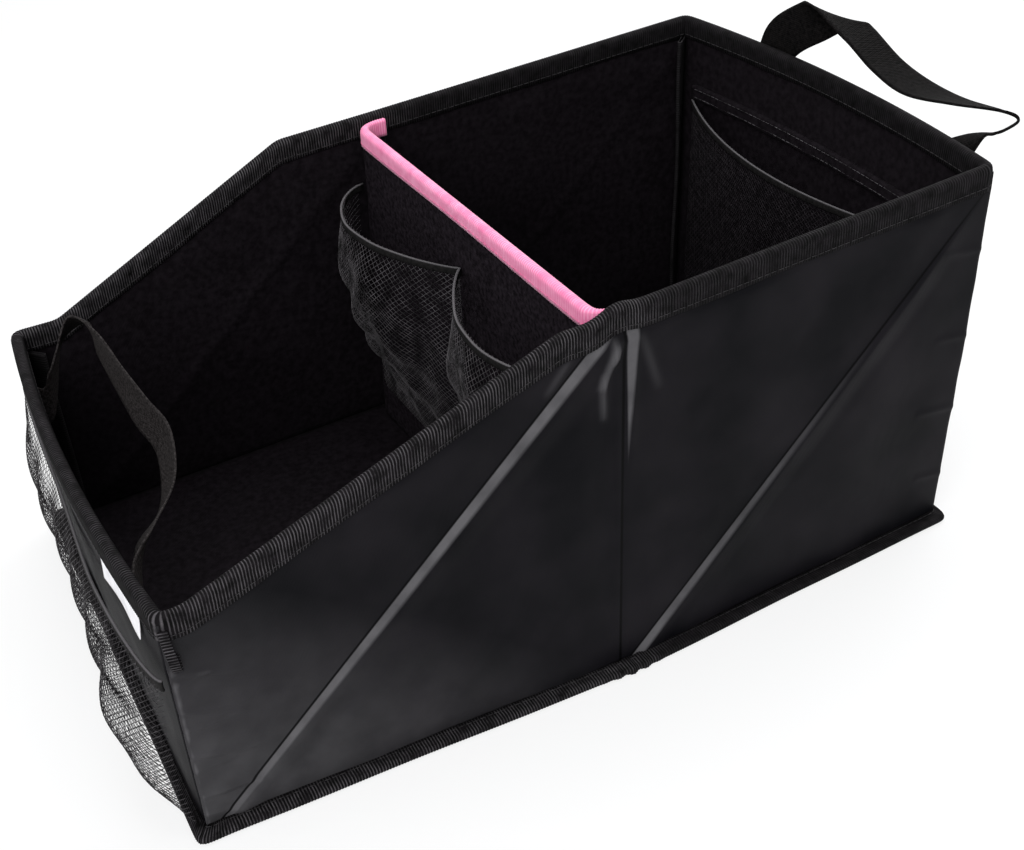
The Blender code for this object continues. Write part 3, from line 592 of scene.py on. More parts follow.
def highlight_strip(tree, upper, lower):
    """A share of 1 between two lines, with a soft lower edge, for a fold's painted highlight."""
    below = spread(tree, left_of(tree, upper), 0.0, -0.0008)
    above = spread(tree, left_of(tree, lower), 0.0, 0.0018)
    return calculate(tree, "MULTIPLY", below, above)


def shade_line(tree, line, half):
    """A share of 1 on a thin line, for painted shade in a fold's valley."""
    away = calculate(tree, "ABSOLUTE", left_of(tree, line))
    return spread(tree, away, half, 0.4 * half)


def point_tone_share(tree):
    """The lightening that a sheet's own points carry: painted highlights on a side wall, a lighter top
    edge on an elastic band.
    """
    return add_node(tree, "ShaderNodeAttribute", attribute_name="tone").outputs["Fac"]


def vary_color(tree, dark, light, scale, detail):
    """Uneven colour between two tones."""
    ramp = add_node(tree, "ShaderNodeValToRGB", {"Fac": noise(tree, scale, detail)})
    for index, position, color in ((0, 0.35, dark), (1, 0.68, light)):
        ramp.color_ramp.elements[index].position = position
        ramp.color_ramp.elements[index].color = (*color, 1.0)
    feed(tree, "Base Color", ramp.outputs["Color"])
    return ramp.outputs["Color"]


def lay_color(tree, share, under, color):
    """A colour laid over another by a share."""
    mix = add_node(tree, "ShaderNodeMix", {0: share, 6: under, 7: (*color, 1.0)}, data_type="RGBA")
    feed(tree, "Base Color", mix.outputs[2])
    return mix.outputs[2]


def paint_panel_light(tree, under):
    """Painted highlights on the folds, thin painted shade lines beside them and a painted reflection
    that pales the low front of a side wall.
    """
    low_front = spread(tree, along_axis(tree, *TO_LOW_FRONT), 0.0, LOW_FRONT_REACH, LOW_FRONT_REFLECTION)
    strips = [highlight_strip(tree, upper, lower) for upper, lower in FOLD_HIGHLIGHT_STRIPS]
    fading = spread(tree, along_axis(tree, 1.0, 0.0), *REAR_HIGHLIGHT_FADING)
    strips[1] = calculate(tree, "MULTIPLY", strips[1], fading)
    uneven = spread(tree, noise(tree, 55.0, 6.0), 0.30, 0.66, 1.07, 0.62)
    share = calculate(tree, "MULTIPLY", largest(tree, [low_front, *strips]), uneven)
    lightened = lay_color(tree, largest(tree, [share, point_tone_share(tree)]), under, PAINTED_HIGHLIGHT_COLOR)
    lines = [shade_line(tree, FOLD_HIGHLIGHT_STRIPS[0][0], FOLD_SHADE_HALF),
             shade_line(tree, FOLD_HIGHLIGHT_STRIPS[1][0], FOLD_SHADE_HALF),
             shade_line(tree, MIDDLE_SHADE_LINE, MIDDLE_SHADE_HALF)]
    lay_color(tree, calculate(tree, "MULTIPLY", largest(tree, lines), 0.9), lightened, FOLD_SHADE_COLOR)


def paint_rib_highlights(tree, under, color, low, high, rear_share):
    """Painted highlights on the cross ribs along a tape's own length, down to a share of them behind the
    middle.
    """
    ribs = spread(tree, waves(tree, 2 * RIB_STEP, "X", 1.2, 2.0, "UV"), low, high)
    uneven = spread(tree, noise(tree, 150.0, 5.0, "UV"), 0.30, 0.62)
    kept = spread(tree, along_axis(tree, 1.0, 0.0), *RIB_HIGHLIGHT_FADING, rear_share, 1.0)
    share = calculate(tree, "MULTIPLY", calculate(tree, "MULTIPLY", ribs, uneven), kept)
    lay_color(tree, share, under, color)


def vary_roughness(tree, low, high, scale):
    feed(tree, "Roughness", spread(tree, noise(tree, scale, 3.0), 0.0, 1.0, high, low))


def bump(tree, height, distance, strength):
    inputs = {"Height": height, "Distance": distance, "Strength": strength}
    feed(tree, "Normal", add_node(tree, "ShaderNodeBump", inputs).outputs["Normal"])


def weave_bump(tree, pitch, distance, strength, grain):
    """Crossed threads at the given pitch, with uneven grain over them unless its scale is 0."""
    height = noise(tree, grain, 5.0) if grain else 0.0
    for direction in "XYZ":
        height = calculate(tree, "ADD", waves(tree, pitch, direction, 0.6, 1.0), height)
    bump(tree, height, distance, strength)


def grain_bump(tree, scale, distance, strength):
    bump(tree, noise(tree, scale, 6.0, roughness=0.7), distance, strength)


def new_material(name, color, roughness, specular, sheen=0.0):
    made = bpy.data.materials.new(name)
    made.use_nodes = True
    shader = made.node_tree.nodes["Principled BSDF"]
    for field, value in (("Base Color", (*color, 1.0)), ("Roughness", roughness),
                         ("Specular IOR Level", specular), ("Sheen Weight", sheen)):
        shader.inputs[field].default_value = value
    return made


def make_material(look):
    name, color, roughness, specular, *unevenness = LOOKS[look]
    made = new_material(name, color, roughness, specular, PINK_SHEEN if look == "pink" else 0.0)
    tree = made.node_tree
    tone = vary_color(tree, *unevenness)
    if look in RIB_HIGHLIGHTS:
        paint_rib_highlights(tree, tone, *RIB_HIGHLIGHTS[look])
    if look == "panel":
        paint_panel_light(tree, tone)
    if look == "elastic":
        lay_color(tree, point_tone_share(tree), tone, ELASTIC_EDGE_COLOR)
    for step, table in ((vary_roughness, ROUGHNESS), (weave_bump, WEAVES), (grain_bump, GRAINS)):
        if look in table:
            step(tree, *table[look])
    return made


def dress(made, slot, *nodes):
    """Ride on the bag and stand for the solids named; the slot is not used."""
    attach(made, "root")
    if nodes:
        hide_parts(*nodes)
    return made


# Side walls

def raised_strip(x, z, upper, lower):
    """A strip that rises from its upper line to its lower one and falls back slowly below."""
    over_upper = over_line(upper, x, z)
    over_lower = over_line(lower, x, z)
    rise = np.clip(-over_upper / np.maximum(over_lower - over_upper, 0.001), 0, 1)
    return rise * (1 - smooth_step(-over_lower, 0.0, 0.014))


def to_creases(x, z):
    """Distance to the nearer diagonal crease of a side wall."""
    return np.minimum(np.abs(over_line(FRONT_CREASE, x, z)), np.abs(over_line(REAR_CREASE, x, z)))


def side_folds():
    """Ridges of a side wall: start, end, width and height."""
    top = FOLD_HEIGHT - RIM_TAPE_DEPTH
    folds = [((FOLD + 0.0015, top + 0.012), (FOLD - 0.0002, top - 0.014), 0.0020, 0.0017),
             ((FOLD + 0.0018, top - 0.004), (FOLD - 0.0070, top - 0.026), 0.0020, 0.0020),
             ((FOLD - 0.0056, top - 0.017), (FOLD - 0.0054, top - 0.042), 0.0018, 0.0014),
             ((FOLD - 0.018, top), (FOLD - 0.034, top - 0.020), 0.0022, 0.0008),
             ((FOLD + 0.014, top - 0.002), (FOLD + 0.024, top - 0.034), 0.0026, 0.0007)]
    folds += [((FRONT - 0.004, low), (FRONT + reach, low + slope * reach), 0.0016, height)
              for low, reach, slope, height in FRONT_PUCKERS]
    folds += [((REAR + 0.003, low), (REAR - reach, low + 0.2 * reach), 0.0020, height)
              for low, reach, height in REAR_PUCKERS]
    return folds


def side_relief(side, x, z):
    """Creases, puckers and slack of a side wall, outward positive, and a tone of painted highlights
    along its front edge and beside its fold ridges.
    """
    front_strip, rear_strip = (raised_strip(x, z, *lines) for lines in FOLD_HIGHLIGHT_STRIPS[:2])
    relief = 0.0020 * front_strip * smooth_step(x, FRONT + 0.004, FRONT + 0.02)
    relief = relief + 0.0018 * rear_strip * smooth_step(REAR - x, 0.002, 0.05)
    middle = x - FOLD - 0.0275 * z
    relief = relief - 0.0003 * hump(middle, 0.0016)
    relief = relief + 0.0012 * hump(middle - 0.0045, 0.0030) * smooth_step(z, 0.10, 0.17)
    calm = smooth_step(np.minimum(to_creases(x, z), np.abs(x - FOLD)), 0.004, 0.02)
    waviness = ripple(x, z, 11 + side, 0.11, 0.0014) + ripple(x, z, 21 + side, 0.030, 0.00045)
    relief = relief + calm * np.clip(0.0006 + waviness, 0, None)
    below_rim = rim_height(side, x) - z
    # A painted highlight along the front edge, where the wall wraps round the corner
    hem = hump(x - FRONT - 0.0016, 0.0011) * smooth_step(below_rim, 0.01, 0.02)
    tone = 0.85 * hem * np.clip(0.7 + ripple(x, z, 91, 0.012, 1.1), 0, 1)
    for start, end, width, height in side_folds():
        relief = relief + ridge(x, z, start, end, width, height)
        if start[0] < REAR:
            # A painted highlight beside each fold ridge
            beside = [(at_x - 0.0008, at_z + 0.0008) for at_x, at_z in (start, end)]
            tone = tone + 260.0 * ridge(x, z, *beside, 0.8 * width, height)
    below_tape = smooth_step(below_rim, RIM_TAPE_DEPTH - 0.001, RIM_TAPE_DEPTH + 0.004)
    return relief * below_tape, tone * below_tape


def side_grid(side, inset, bottom, columns, rows):
    x, share = even_grid(FRONT + inset, REAR - inset, columns, 0, 1, rows)
    z = bottom + share * (rim_height(side, x) - WALL_TOP_DROP - bottom)
    return np.broadcast_to(x, z.shape), z


def side_points(side, x, z, inset, relief):
    return join(x, side * (HALF_WIDTH + side_push(x, z) - inset + relief), z)


def make_side_walls(looks):
    fineness = {"near": (320, 145), "far": (150, 68)}
    for label, side in SIDES.items():
        x, z = side_grid(side, 0.0, WALL_BOTTOM, *fineness[label])
        relief, tone = side_relief(side, x, z)
        points = side_points(side, x, z, 0.0, relief)
        wall = surface(f"side_wall_cloth_{label}", points, looks["panel"], CLOTH,
                       outward=(0, side, 0), tone=tone)
        dress(wall, "coated_cloth", f"outer_side_{label}")
        x, z = side_grid(side, LINING_INSET, FLOOR_TOP - LINING, 110, 50)
        inward = slack(x, z, 31 + side, 0.09, 0.0022, 0.0010)
        inward = inward + 0.0016 * hump(to_creases(x, z), 0.0022) + 0.0012 * hump(x - FOLD, 0.002)
        rims = smooth_step(rim_height(side, x) - z, 0.010, 0.030) * smooth_step(z, 0.006, 0.02)
        points = side_points(side, x, z, LINING_INSET, -inward * rims)
        lining = surface(f"side_lining_{label}", points, looks["lining"], LINING,
                         outward=(0, side, 0))
        dress(lining, "lining_cloth", f"lining_side_{label}")


# End walls and floor

def make_end_walls(looks):
    for name, place, height, outward, seed in (("front", front_x, FRONT_HEIGHT, -1, 41),
                                               ("rear", rear_x, REAR_HEIGHT, 1, 51)):
        edge = HALF_WIDTH - 2 * CLOTH
        y, z = even_grid(-edge, edge, 80, WALL_BOTTOM, height - WALL_TOP_DROP, 50)
        calm = smooth_step(HALF_WIDTH - np.abs(y), 0.0, 0.02) * smooth_step(height - z, 0.012, 0.03)
        away = calm * slack(y, z, seed, 0.08, 0.0012, 0.0005, 0.0010)
        points = join(place(y, z, 0.0) + outward * away, y, z)
        wall = surface(f"{name}_wall_cloth", points, looks["cloth"], CLOTH, outward=(outward, 0, 0))
        dress(wall, "coated_cloth", f"outer_{name}")
        edge = HALF_WIDTH - WALL - GAP
        y, z = even_grid(-edge, edge, 64, FLOOR_TOP - LINING, height - WALL_TOP_DROP, 44)
        calm = smooth_step(edge - np.abs(y), 0.0, 0.02) * smooth_step(height - z, 0.014, 0.04)
        away = calm * slack(y, z, seed + 3, 0.07, 0.0009, 0.0004, 0.0006)
        points = join(place(y, z, LINING_INSET) - outward * away, y, z)
        lining = surface(f"{name}_lining", points, looks["lining"], LINING, outward=(outward, 0, 0))
        dress(lining, "lining_cloth", f"lining_{name}")


def make_floor_lining(looks):
    x, share = even_grid(FRONT + WALL - GAP, REAR - WALL + GAP, 80, -1, 1, 50)
    y = share * (HALF_WIDTH - WALL + GAP + side_push(x, 0.0))
    calm = smooth_step(1 - np.abs(share), 0.0, 0.12) * smooth_step(REAR - np.abs(x), 0.004, 0.02)
    lift = calm * slack(x, y, 61, 0.09, 0.0014, 0.0006)
    valley = -0.0008 * hump(x - FOLD, 0.003) * calm
    points = join(x, y, FLOOR_TOP + lift + np.maximum(valley, -0.0002))
    lining = surface("floor_lining", points, looks["lining"], LINING, outward=(0, 0, 1))
    dress(lining, "lining_cloth", "lining_base")


def make_base_cloth(looks):
    x, share = even_grid(FRONT - 0.002, REAR + 0.0012, 50, -1, 1, 30)
    y = share * (HALF_WIDTH + side_push(x, 0.0) + 0.0025)
    z = CLOTH + slack(x, y, 65, 0.05, 0.0003, 0.0001, 0.0003)
    made = surface("base_cloth", join(x, y, z), looks["cloth"], -CLOTH / 2, outward=(0, 0, -1))
    dress(made, "coated_cloth", "outer_base")


# Binding tapes

def rim_line():
    """The rim's middle line all round: near side, rear, far side, front."""
    middle = WALL / 2
    x = np.linspace(FRONT + middle, REAR - middle, 420)
    y = np.linspace(-HALF_WIDTH + middle, HALF_WIDTH - middle, 240)[1:-1]
    sides = {}
    for side in (NEAR, FAR):
        top = rim_height(side, x)
        sides[side] = join(x, side * (HALF_WIDTH + side_push(x, top) - middle), top)
    sides[NEAR][:, 2] += 0.0026 * hump(x - FOLD - 0.003, 0.007) - 0.0016 * hump(x - FOLD + 0.012, 0.009)
    rear = join(rear_x(y, REAR_HEIGHT, middle), y, REAR_HEIGHT)
    front = join(front_x(y, FRONT_HEIGHT, middle), y, FRONT_HEIGHT)
    line = np.vstack([sides[NEAR], rear, sides[FAR][::-1], front[::-1]])
    return rounded(resampled(line, RIB_STEP, closed=True), RIM_ROUNDING, closed=True)


def plan_normals(line):
    """Level directions square to a closed line, pointing out of it."""
    body = line[:-1]
    along = np.roll(body, -1, axis=0) - np.roll(body, 1, axis=0)
    normal = unit(np.stack([along[:, 1], -along[:, 0], np.zeros(len(body))], axis=1))
    return np.vstack([normal, normal[:1]])


def fold_profile(half, depth, turn_steps=5, side_steps=4):
    """(sideways, down) points of a tape folded over an edge, from its outer foot to its inner."""
    radius = half * 0.9
    profile = [(half, depth - (depth - radius) * i / side_steps) for i in range(side_steps)]
    for i in range(turn_steps + 1):
        angle = math.pi * i / turn_steps
        profile.append((half * math.cos(angle), radius * (1 - math.sin(angle))))
    return profile + [(-s, d) for s, d in profile[side_steps - 1::-1]]


def rim_points(line, normals, profile, waver):
    """The points of a tape's profile all along the rim, following the walls down from it."""
    sideways, down = np.array(profile).T[:, None, :]
    at_x, at_y, at_z = line.T[:, :, None]
    x = at_x + normals[:, 0, None] * sideways
    y = at_y + normals[:, 1, None] * sideways
    z = at_z - down * (1 + waver[:, None])
    on_side = smooth_step(np.abs(at_y), HALF_WIDTH - 0.012, HALF_WIDTH - 0.004)
    y = y + np.sign(at_y) * (side_push(at_x, z) - side_push(at_x, at_z)) * on_side
    for end, height, bow in ((1, REAR_HEIGHT, REAR_BOW), (-1, FRONT_HEIGHT, FRONT_BOW)):
        sink = end_bow(y, at_z, height, bow) - end_bow(y, z, height, bow)
        x = x - end * sink * smooth_step(end * at_x, REAR - 0.006, REAR - 0.001)
    return np.stack([x, y, z], axis=-1)


def make_rim_binding(looks):
    line = rim_line()
    normals = plan_normals(line)
    half = WALL / 2 + RIM_SLOT + TAPE
    run = np.arange(len(line)) * RIB_STEP
    waver = 0.05 * np.sin(run / 0.019) * np.sin(run / 0.047 + 1.0)
    waver[-1] = waver[0]
    points = rim_points(line, normals, fold_profile(half, RIM_TAPE_DEPTH), waver)
    made = surface("rim_binding_tape", ribbed(points), looks["tape"], TAPE * 0.8,
                   uv=strip_uv(points))
    orient(made, points)
    dress(made, "binding_tape", "rim_binding")
    out = half + THREAD_RADIUS * 0.7
    seams = rim_points(line, normals, [(out, RIM_SEAM_DROP), (-out, RIM_SEAM_DROP)], waver * 0)
    threads = stitched("rim_stitches", [seams[:, 0], seams[:, 1]], looks["thread"])
    dress(threads, "binding_tape")


def make_tape_end(looks):
    """The rim tape's overlapped end, hanging in a small loop at the near front corner."""
    top = FRONT_HEIGHT - RIM_TAPE_DEPTH
    start = FRONT + 0.0016
    route = [(start + along, -HALF_WIDTH - out, top + up)
             for along, out, up in ((0.000, 0.0013, 0.006), (0.0005, 0.0026, -0.002),
                                    (0.0012, 0.0040, -0.009), (0.0020, 0.0034, -0.0150),
                                    (0.0026, 0.0018, -0.0160), (0.0026, 0.0010, -0.009))]
    made = ribbon("rim_tape_end", route, [(1.0, -0.35, 0.1)] * len(route), 0.0042, 0.0006, looks["tape"])
    dress(made, "binding_tape")


def orient(made, points):
    """Turn a folded tape's faces outward, so that its thickness is laid inside the fold."""
    mesh = made.data
    first = mesh.polygons[0]
    inside = Vector(points[0].mean(axis=0))
    if first.normal.dot(first.center - inside) < 0:
        mesh.flip_normals()


def flange_outline(share):
    """Base seam's outline, moved out by a share of the flange's width at each edge."""
    front, side, rear = (FLANGE_START + share * width
                         for width in (FRONT_FLANGE, SIDE_FLANGE, REAR_FLANGE))
    corners = [(FRONT - front, FRONT), (FRONT_CREASE[0][0],) * 2, (FOLD, FOLD),
               (REAR_CREASE[0][0],) * 2, (REAR + rear, REAR)]
    near = [(x, -(HALF_WIDTH + side + float(side_push(np.array(at), 0.0)))) for x, at in corners]
    return near + [(x, -y) for x, y in reversed(near)]


def along_outline(outline, counts):
    """Points round a closed outline with soft corners, as many on an edge as its count says."""
    line = []
    for (x0, y0), (x1, y1), count in zip(outline, outline[1:] + outline[:1], counts):
        line += [(x0 + (x1 - x0) * i / count, y0 + (y1 - y0) * i / count, 0.0) for i in range(count)]
    return rounded(np.array(line + line[:1]), BASE_ROUNDING, closed=True)


def make_base_binding(looks):
    outer = flange_outline(1.0)
    counts = [max(2, int(math.dist(start, end) / RIB_STEP / 2) * 2)
              for start, end in zip(outer, outer[1:] + outer[:1])]
    rim = along_outline(outer, counts)
    root = along_outline(flange_outline(0.0), counts)
    run = np.arange(len(rim)) * RIB_STEP
    waver = 0.0004 * np.sin(run / 0.023) * np.sin(run / 0.061)
    bunched = hump(rim[:, 0] - FOLD - 0.003, 0.012) * (rim[:, 1] < 0)
    waver = waver + 0.0008 * bunched * (1 + np.sin(rim[:, 0] / 0.0013))
    waver[-1] = waver[0]
    width = np.linalg.norm(rim - root, axis=1)
    away = (rim - root) / np.maximum(width, 1e-6)[:, None]
    bend = FLANGE_TOP / 2 / np.maximum(width, FLANGE_TOP / 2)
    angles = np.linspace(0, math.pi, 6)
    profile = [(0.0 * bend, 1.0), (0.5 * (1 - bend), 1.0)]
    profile += [(1 - bend + bend * math.sin(a), 0.5 + 0.5 * math.cos(a)) for a in angles]
    profile += [(0.5 * (1 - bend), 0.0), (0.0 * bend, 0.0)]
    rows = []
    for share, level in profile:
        row = root + (rim - root) * share[:, None] + away * (waver * share)[:, None]
        row[:, 2] = level * (FLANGE_TOP + np.abs(waver) * 0.6 * (level > 0.9))
        rows.append(row)
    flat = np.stack(rows, axis=1)
    grid = ribbed(flat)
    grid[:, :, 2] = np.maximum(grid[:, :, 2], 0.0001)
    made = surface("base_binding_tape", grid, looks["tape"], TAPE * 0.7, uv=strip_uv(flat))
    orient(made, grid)
    dress(made, "binding_tape", "base_binding")
    seam = root + (rim - root) * BASE_SEAM_SHARE
    seam[:, 2] = FLANGE_TOP + THREAD_RADIUS * 0.6
    dress(stitched("base_stitches", [seam], looks["thread"]), "binding_tape")


def make_corner_bindings(looks):
    sideways, down = np.array(fold_profile(CORNER_TAPE_HALF, CORNER_TAPE_DEPTH, 4, 3)).T
    for label, side in SIDES.items():
        for name, end, height in (("front", -1, FRONT_HEIGHT), ("rear", 1, REAR_HEIGHT)):
            corner = np.array([end * (REAR - WALL), side * (HALF_WIDTH - WALL)])
            inward = np.array([-end, -side]) / math.sqrt(2)
            beside = np.array([-inward[1], inward[0]])
            root = corner + inward * (TAPE + 3 * GAP)
            top = height - RIM_TAPE_DEPTH + 0.001
            levels = np.arange(FLOOR_TOP + GAP, top, RIB_STEP)[:, None]
            sway = 0.0006 * np.sin(levels / 0.021 + end + side)
            aside = (sideways + sway * (1 - down / CORNER_TAPE_DEPTH))[:, :, None]
            plan = root + inward * (CORNER_TAPE_DEPTH - down)[:, None] + beside * aside
            grid = join(plan[:, :, 0], plan[:, :, 1], levels)
            made = surface(f"corner_tape_{name}_{label}", ribbed(grid), looks["dim"],
                           TAPE * 0.6, uv=strip_uv(grid))
            orient(made, grid)
            dress(made, "binding_tape", f"corner_binding_{name}_{label}")


# Divider

def divider_x(y):
    return FOLD - DIVIDER_FORWARD - DIVIDER_SKEW * y / HALF_WIDTH


def divider_line(z, behind=0.0):
    """Plan line of the divider's front cloth with its tails, at a height."""
    wall = HALF_WIDTH - WALL - TAIL_CLEARANCE + float(side_push(np.array(FOLD), z))
    bend = wall - DIVIDER_BEND
    near, far = ([(FOLD + DIVIDER_TAIL, side * wall, 0.0), (FOLD, side * wall, 0.0),
                  (divider_x(side * bend) + behind, side * bend, 0.0)] for side in (NEAR, FAR))
    return rounded(resampled(near + far[::-1], 0.0015), 10)


def make_divider(looks):
    bottom = FLOOR_TOP + GAP
    top = DIVIDER_HEIGHT - 0.002
    share = np.linspace(0, 1, len(divider_line(bottom)))
    grid = []
    for z in np.linspace(bottom, top, 50):
        line = divider_line(z)
        at = np.linspace(0, 1, len(line))
        grid.append(join(np.interp(share, at, line[:, 0]), np.interp(share, at, line[:, 1]), z))
    grid = np.array(grid)
    calm = smooth_step(DIVIDER_HEIGHT - grid[:, :, 2], 0.008, 0.03)
    grid[:, :, 0] -= calm * slack(grid[:, :, 1], grid[:, :, 2], 71, 0.06, 0.0006, 0.0003, 0.0006)
    front = surface("divider_cover_front", grid, looks["felt"], CLOTH, 0.0)
    dress(front, "divider_felt", "divider_front")
    half = divider_net_half() - 6 * GAP
    y, z = even_grid(-half, half, 64, bottom, top, 50)
    calm = smooth_step(half - np.abs(y), 0.0, 0.01) * smooth_step(DIVIDER_HEIGHT - z, 0.01, 0.03)
    away = calm * slack(y, z, 73, 0.05, 0.0006, 0.0003)
    points = join(divider_x(y) - CLOTH / 2 + DIVIDER_STACK + away, y, z)
    back = surface("divider_cover_back", points, looks["felt"], CLOTH, outward=(1, 0, 0))
    dress(back, "divider_felt", "divider_back")


def make_divider_binding(looks):
    line = divider_line(DIVIDER_HEIGHT, DIVIDER_STACK / 2 - CLOTH / 2)
    line = rounded(resampled(line, RIB_STEP), 4)
    along = np.gradient(line, axis=0)
    normals = unit(np.stack([-along[:, 1], along[:, 0], 0 * along[:, 0]], axis=1))
    board_end = HALF_WIDTH - WALL - TAIL_CLEARANCE - DIVIDER_BEND
    over_board = 1 - smooth_step(np.abs(line[:, 1]), board_end - 0.004, board_end + 0.002)
    wide = DIVIDER_STACK / 2 + GAP + TAPE
    narrow = CLOTH / 2 + DIVIDER_TAIL_SLOT + TAPE
    half = narrow + (wide - narrow) * over_board
    run = np.arange(len(line)) * RIB_STEP
    depth = DIVIDER_TAPE_DEPTH * (1 + 0.05 * np.sin(run / 0.031 + 0.5))
    turn = 0.9
    rows = []
    for sideways, down in fold_profile(1.0, 1.0, 6, 4):
        row = line + normals * (half * sideways)[:, None]
        straight = max(0.0, (down - turn) / (1 - turn))
        row[:, 2] = DIVIDER_HEIGHT - half * min(down, turn) - straight * (depth - half * turn)
        rows.append(row)
    grid = np.stack(rows, axis=1)
    made = surface("divider_pink_tape", ribbed(grid, PINK_RIB_DEPTH), looks["pink"], TAPE * 0.7,
                   uv=strip_uv(grid))
    orient(made, grid)
    dress(made, "pink_tape", "divider_binding")
    seams = []
    for sign in (1, -1):
        seam = line + normals * (sign * (half + THREAD_RADIUS * 0.6))[:, None]
        seam[:, 2] = DIVIDER_HEIGHT - depth + 0.0018
        seams.append(seam[6:-6])
    dress(stitched("divider_tape_stitches", seams, looks["rose"]), "pink_tape")


# Pockets

def front_net_point(y, z, level):
    half = HALF_WIDTH - CLOTH - GAP
    around = np.clip(np.cos(math.pi / 2 * y / half), 0, None) ** 0.35
    lobes = 1 - FRONT_POCKET_PINCH * np.cos(math.pi * y / half)
    loose = np.clip(np.sin(math.pi * level), 0, None) ** 0.7
    taut = 1 - 0.96 * smooth_step(y, -0.06, 0.04)
    fullness = FRONT_POCKET_EDGE_SHARE * taut + (1 - FRONT_POCKET_EDGE_SHARE) * loose
    near_lobe = 0.0070 * hump(y + 0.098, 0.022)
    pleat = 0.0016 * np.sin(y / 0.0062 + 5 * level) * smooth_step(half - np.abs(y), 0.0, 0.02)
    sag = 0.0012 * np.sin(y / 0.021 + 1.3) * (1 - level)
    away = FRONT_POCKET_BULGE * around * lobes * fullness + (near_lobe + pleat + sag) * loose
    return join(front_x(y, z, 0.0) - away - NET_REST - 0.0004, y, z)


def pouch(y, half):
    share = np.clip(np.abs(y) / half, 0, 1)
    return np.clip(np.sin(math.pi * share ** DIVIDER_POUCH_SKEW), 0, None) ** 0.6


def divider_net_half():
    return HALF_WIDTH - WALL - TAIL_CLEARANCE - DIVIDER_BEND - GAP


def divider_net_point(y, z):
    level = (z - DIVIDER_POCKET_BOTTOM) / (DIVIDER_POCKET_HEIGHT - DIVIDER_POCKET_BOTTOM)
    swell = DIVIDER_POUCH_TOP * level + 3 * DIVIDER_POUCH_MIDDLE * level * (1 - level)
    swell = swell * smooth_step(level, -0.25, 0.95)
    middle = np.sin(math.pi * np.clip(level, 0, 1))
    lump = 1 + 0.10 * np.sin(y / 0.011 + 5 * level) * middle
    crumple = 0.0016 * middle * (np.sin(y / 0.0047 + 11 * level) + np.sin(23 * level - y / 0.009))
    fullness = swell * lump + np.clip(crumple, -0.3 * swell, None)
    away = NET_REST + fullness * pouch(y, divider_net_half())
    return join(divider_x(y) - CLOTH / 2 - away, y, z)


def rear_net_point(y, z):
    level = (z - REAR_POCKET_BOTTOM) / (REAR_POCKET_HEIGHT - REAR_POCKET_BOTTOM)
    around = np.clip(1 - (y / REAR_POCKET_HALF) ** 2, 0, None)
    inward = WALL + GAP + CLOTH + NET_REST
    return join(rear_x(y, z, inward) - REAR_POCKET_BULGE * around * np.clip(level, 0, 1) ** 0.7, y, z)


def band(name, point, half, bottom, top, finish):
    """An elastic edge standing along the top of a net, with rolled edges."""
    y = np.linspace(-half, half, 300)
    edge = point(y, np.full_like(y, bottom))
    levels = np.linspace(0, 1, 7)
    x = edge[:, :1] - 0.25 * ELASTIC_THICKNESS * np.sin(math.pi * levels)
    grid = join(x, y[:, None], bottom + (top - bottom) * levels)
    tone = np.broadcast_to(np.clip(levels * 6 - 5.0, 0, 1), x.shape)
    return surface(name, ribbed(grid, 0.00008), finish, ELASTIC_THICKNESS, 0.0, tone=tone)


def make_pockets(looks):
    low = 0.0045
    high = FRONT_POCKET_HEIGHT - 0.002

    def front_point(y, z):
        return front_net_point(y, z, (z - low) / (high - low))

    def front_edge_point(y, z):
        return front_net_point(y, z, np.ones_like(y))

    for name, point, edge_point, half, bottom, net_top, top, elastic, radius, look in (
            ("front", front_point, front_edge_point, HALF_WIDTH - CLOTH - 2 * GAP, low, high,
             FRONT_POCKET_HEIGHT, FRONT_ELASTIC, FRONT_STRAND, "net"),
            ("divider", divider_net_point, divider_net_point, divider_net_half(),
             DIVIDER_POCKET_BOTTOM, DIVIDER_POCKET_HEIGHT - 0.001, DIVIDER_POCKET_HEIGHT,
             DIVIDER_ELASTIC, DIVIDER_STRAND, "bright"),
            ("rear", rear_net_point, rear_net_point, REAR_POCKET_HALF, REAR_POCKET_BOTTOM,
             REAR_POCKET_HEIGHT - 0.001, REAR_POCKET_HEIGHT, REAR_ELASTIC, REAR_STRAND, "shaded")):
        made = net(f"{name}_net", point, half, bottom, net_top, radius, looks[look])
        dress(made, "pocket_mesh", f"{name}_pocket_net")
        edge = band(f"{name}_net_elastic", edge_point, half, top - elastic, top, looks["elastic"])
        dress(edge, "elastic_edge", f"{name}_pocket_elastic")


def make_slip_pocket(looks):
    half = REAR_POCKET_HALF
    y = np.linspace(-half, half, 90)
    inner = WALL + GAP
    hem = inner + CLOTH + SLIP_HEM_FOLD
    top = SLIP_POCKET_HEIGHT - 0.001
    rows = []
    for z in np.linspace(REAR_POCKET_BOTTOM, top, 30):
        away = slack(y, z, 81, 0.05, 0.0006, 0.0002, 0.0006)
        rows.append(join(rear_x(y, z, inner + away), y, z))
    for angle in np.linspace(0, math.pi, 5):
        z = top + 0.001 * math.sin(angle)
        rows.append(join(rear_x(y, z, inner + (hem - inner) * (1 - math.cos(angle)) / 2), y, z))
    for z in np.linspace(SLIP_POCKET_HEIGHT - 0.002, SLIP_POCKET_HEIGHT - SLIP_HEM, 6):
        rows.append(join(rear_x(y, z, hem + 0.0002 * np.sin(y / 0.006)), y, z))
    made = surface("slip_pocket_cloth", np.array(rows), looks["lining"], CLOTH)
    made.data.flip_normals()
    dress(made, "lining_cloth", "rear_slip_pocket")
    seams = [join(rear_x(y, z, hem + CLOTH), y, z)
             for z in (SLIP_POCKET_HEIGHT - SLIP_HEM + 0.0015, SLIP_POCKET_HEIGHT - 0.0015)]
    dress(stitched("slip_pocket_stitches", seams, looks["bright"]), "lining_cloth")


# Handle, strap and label

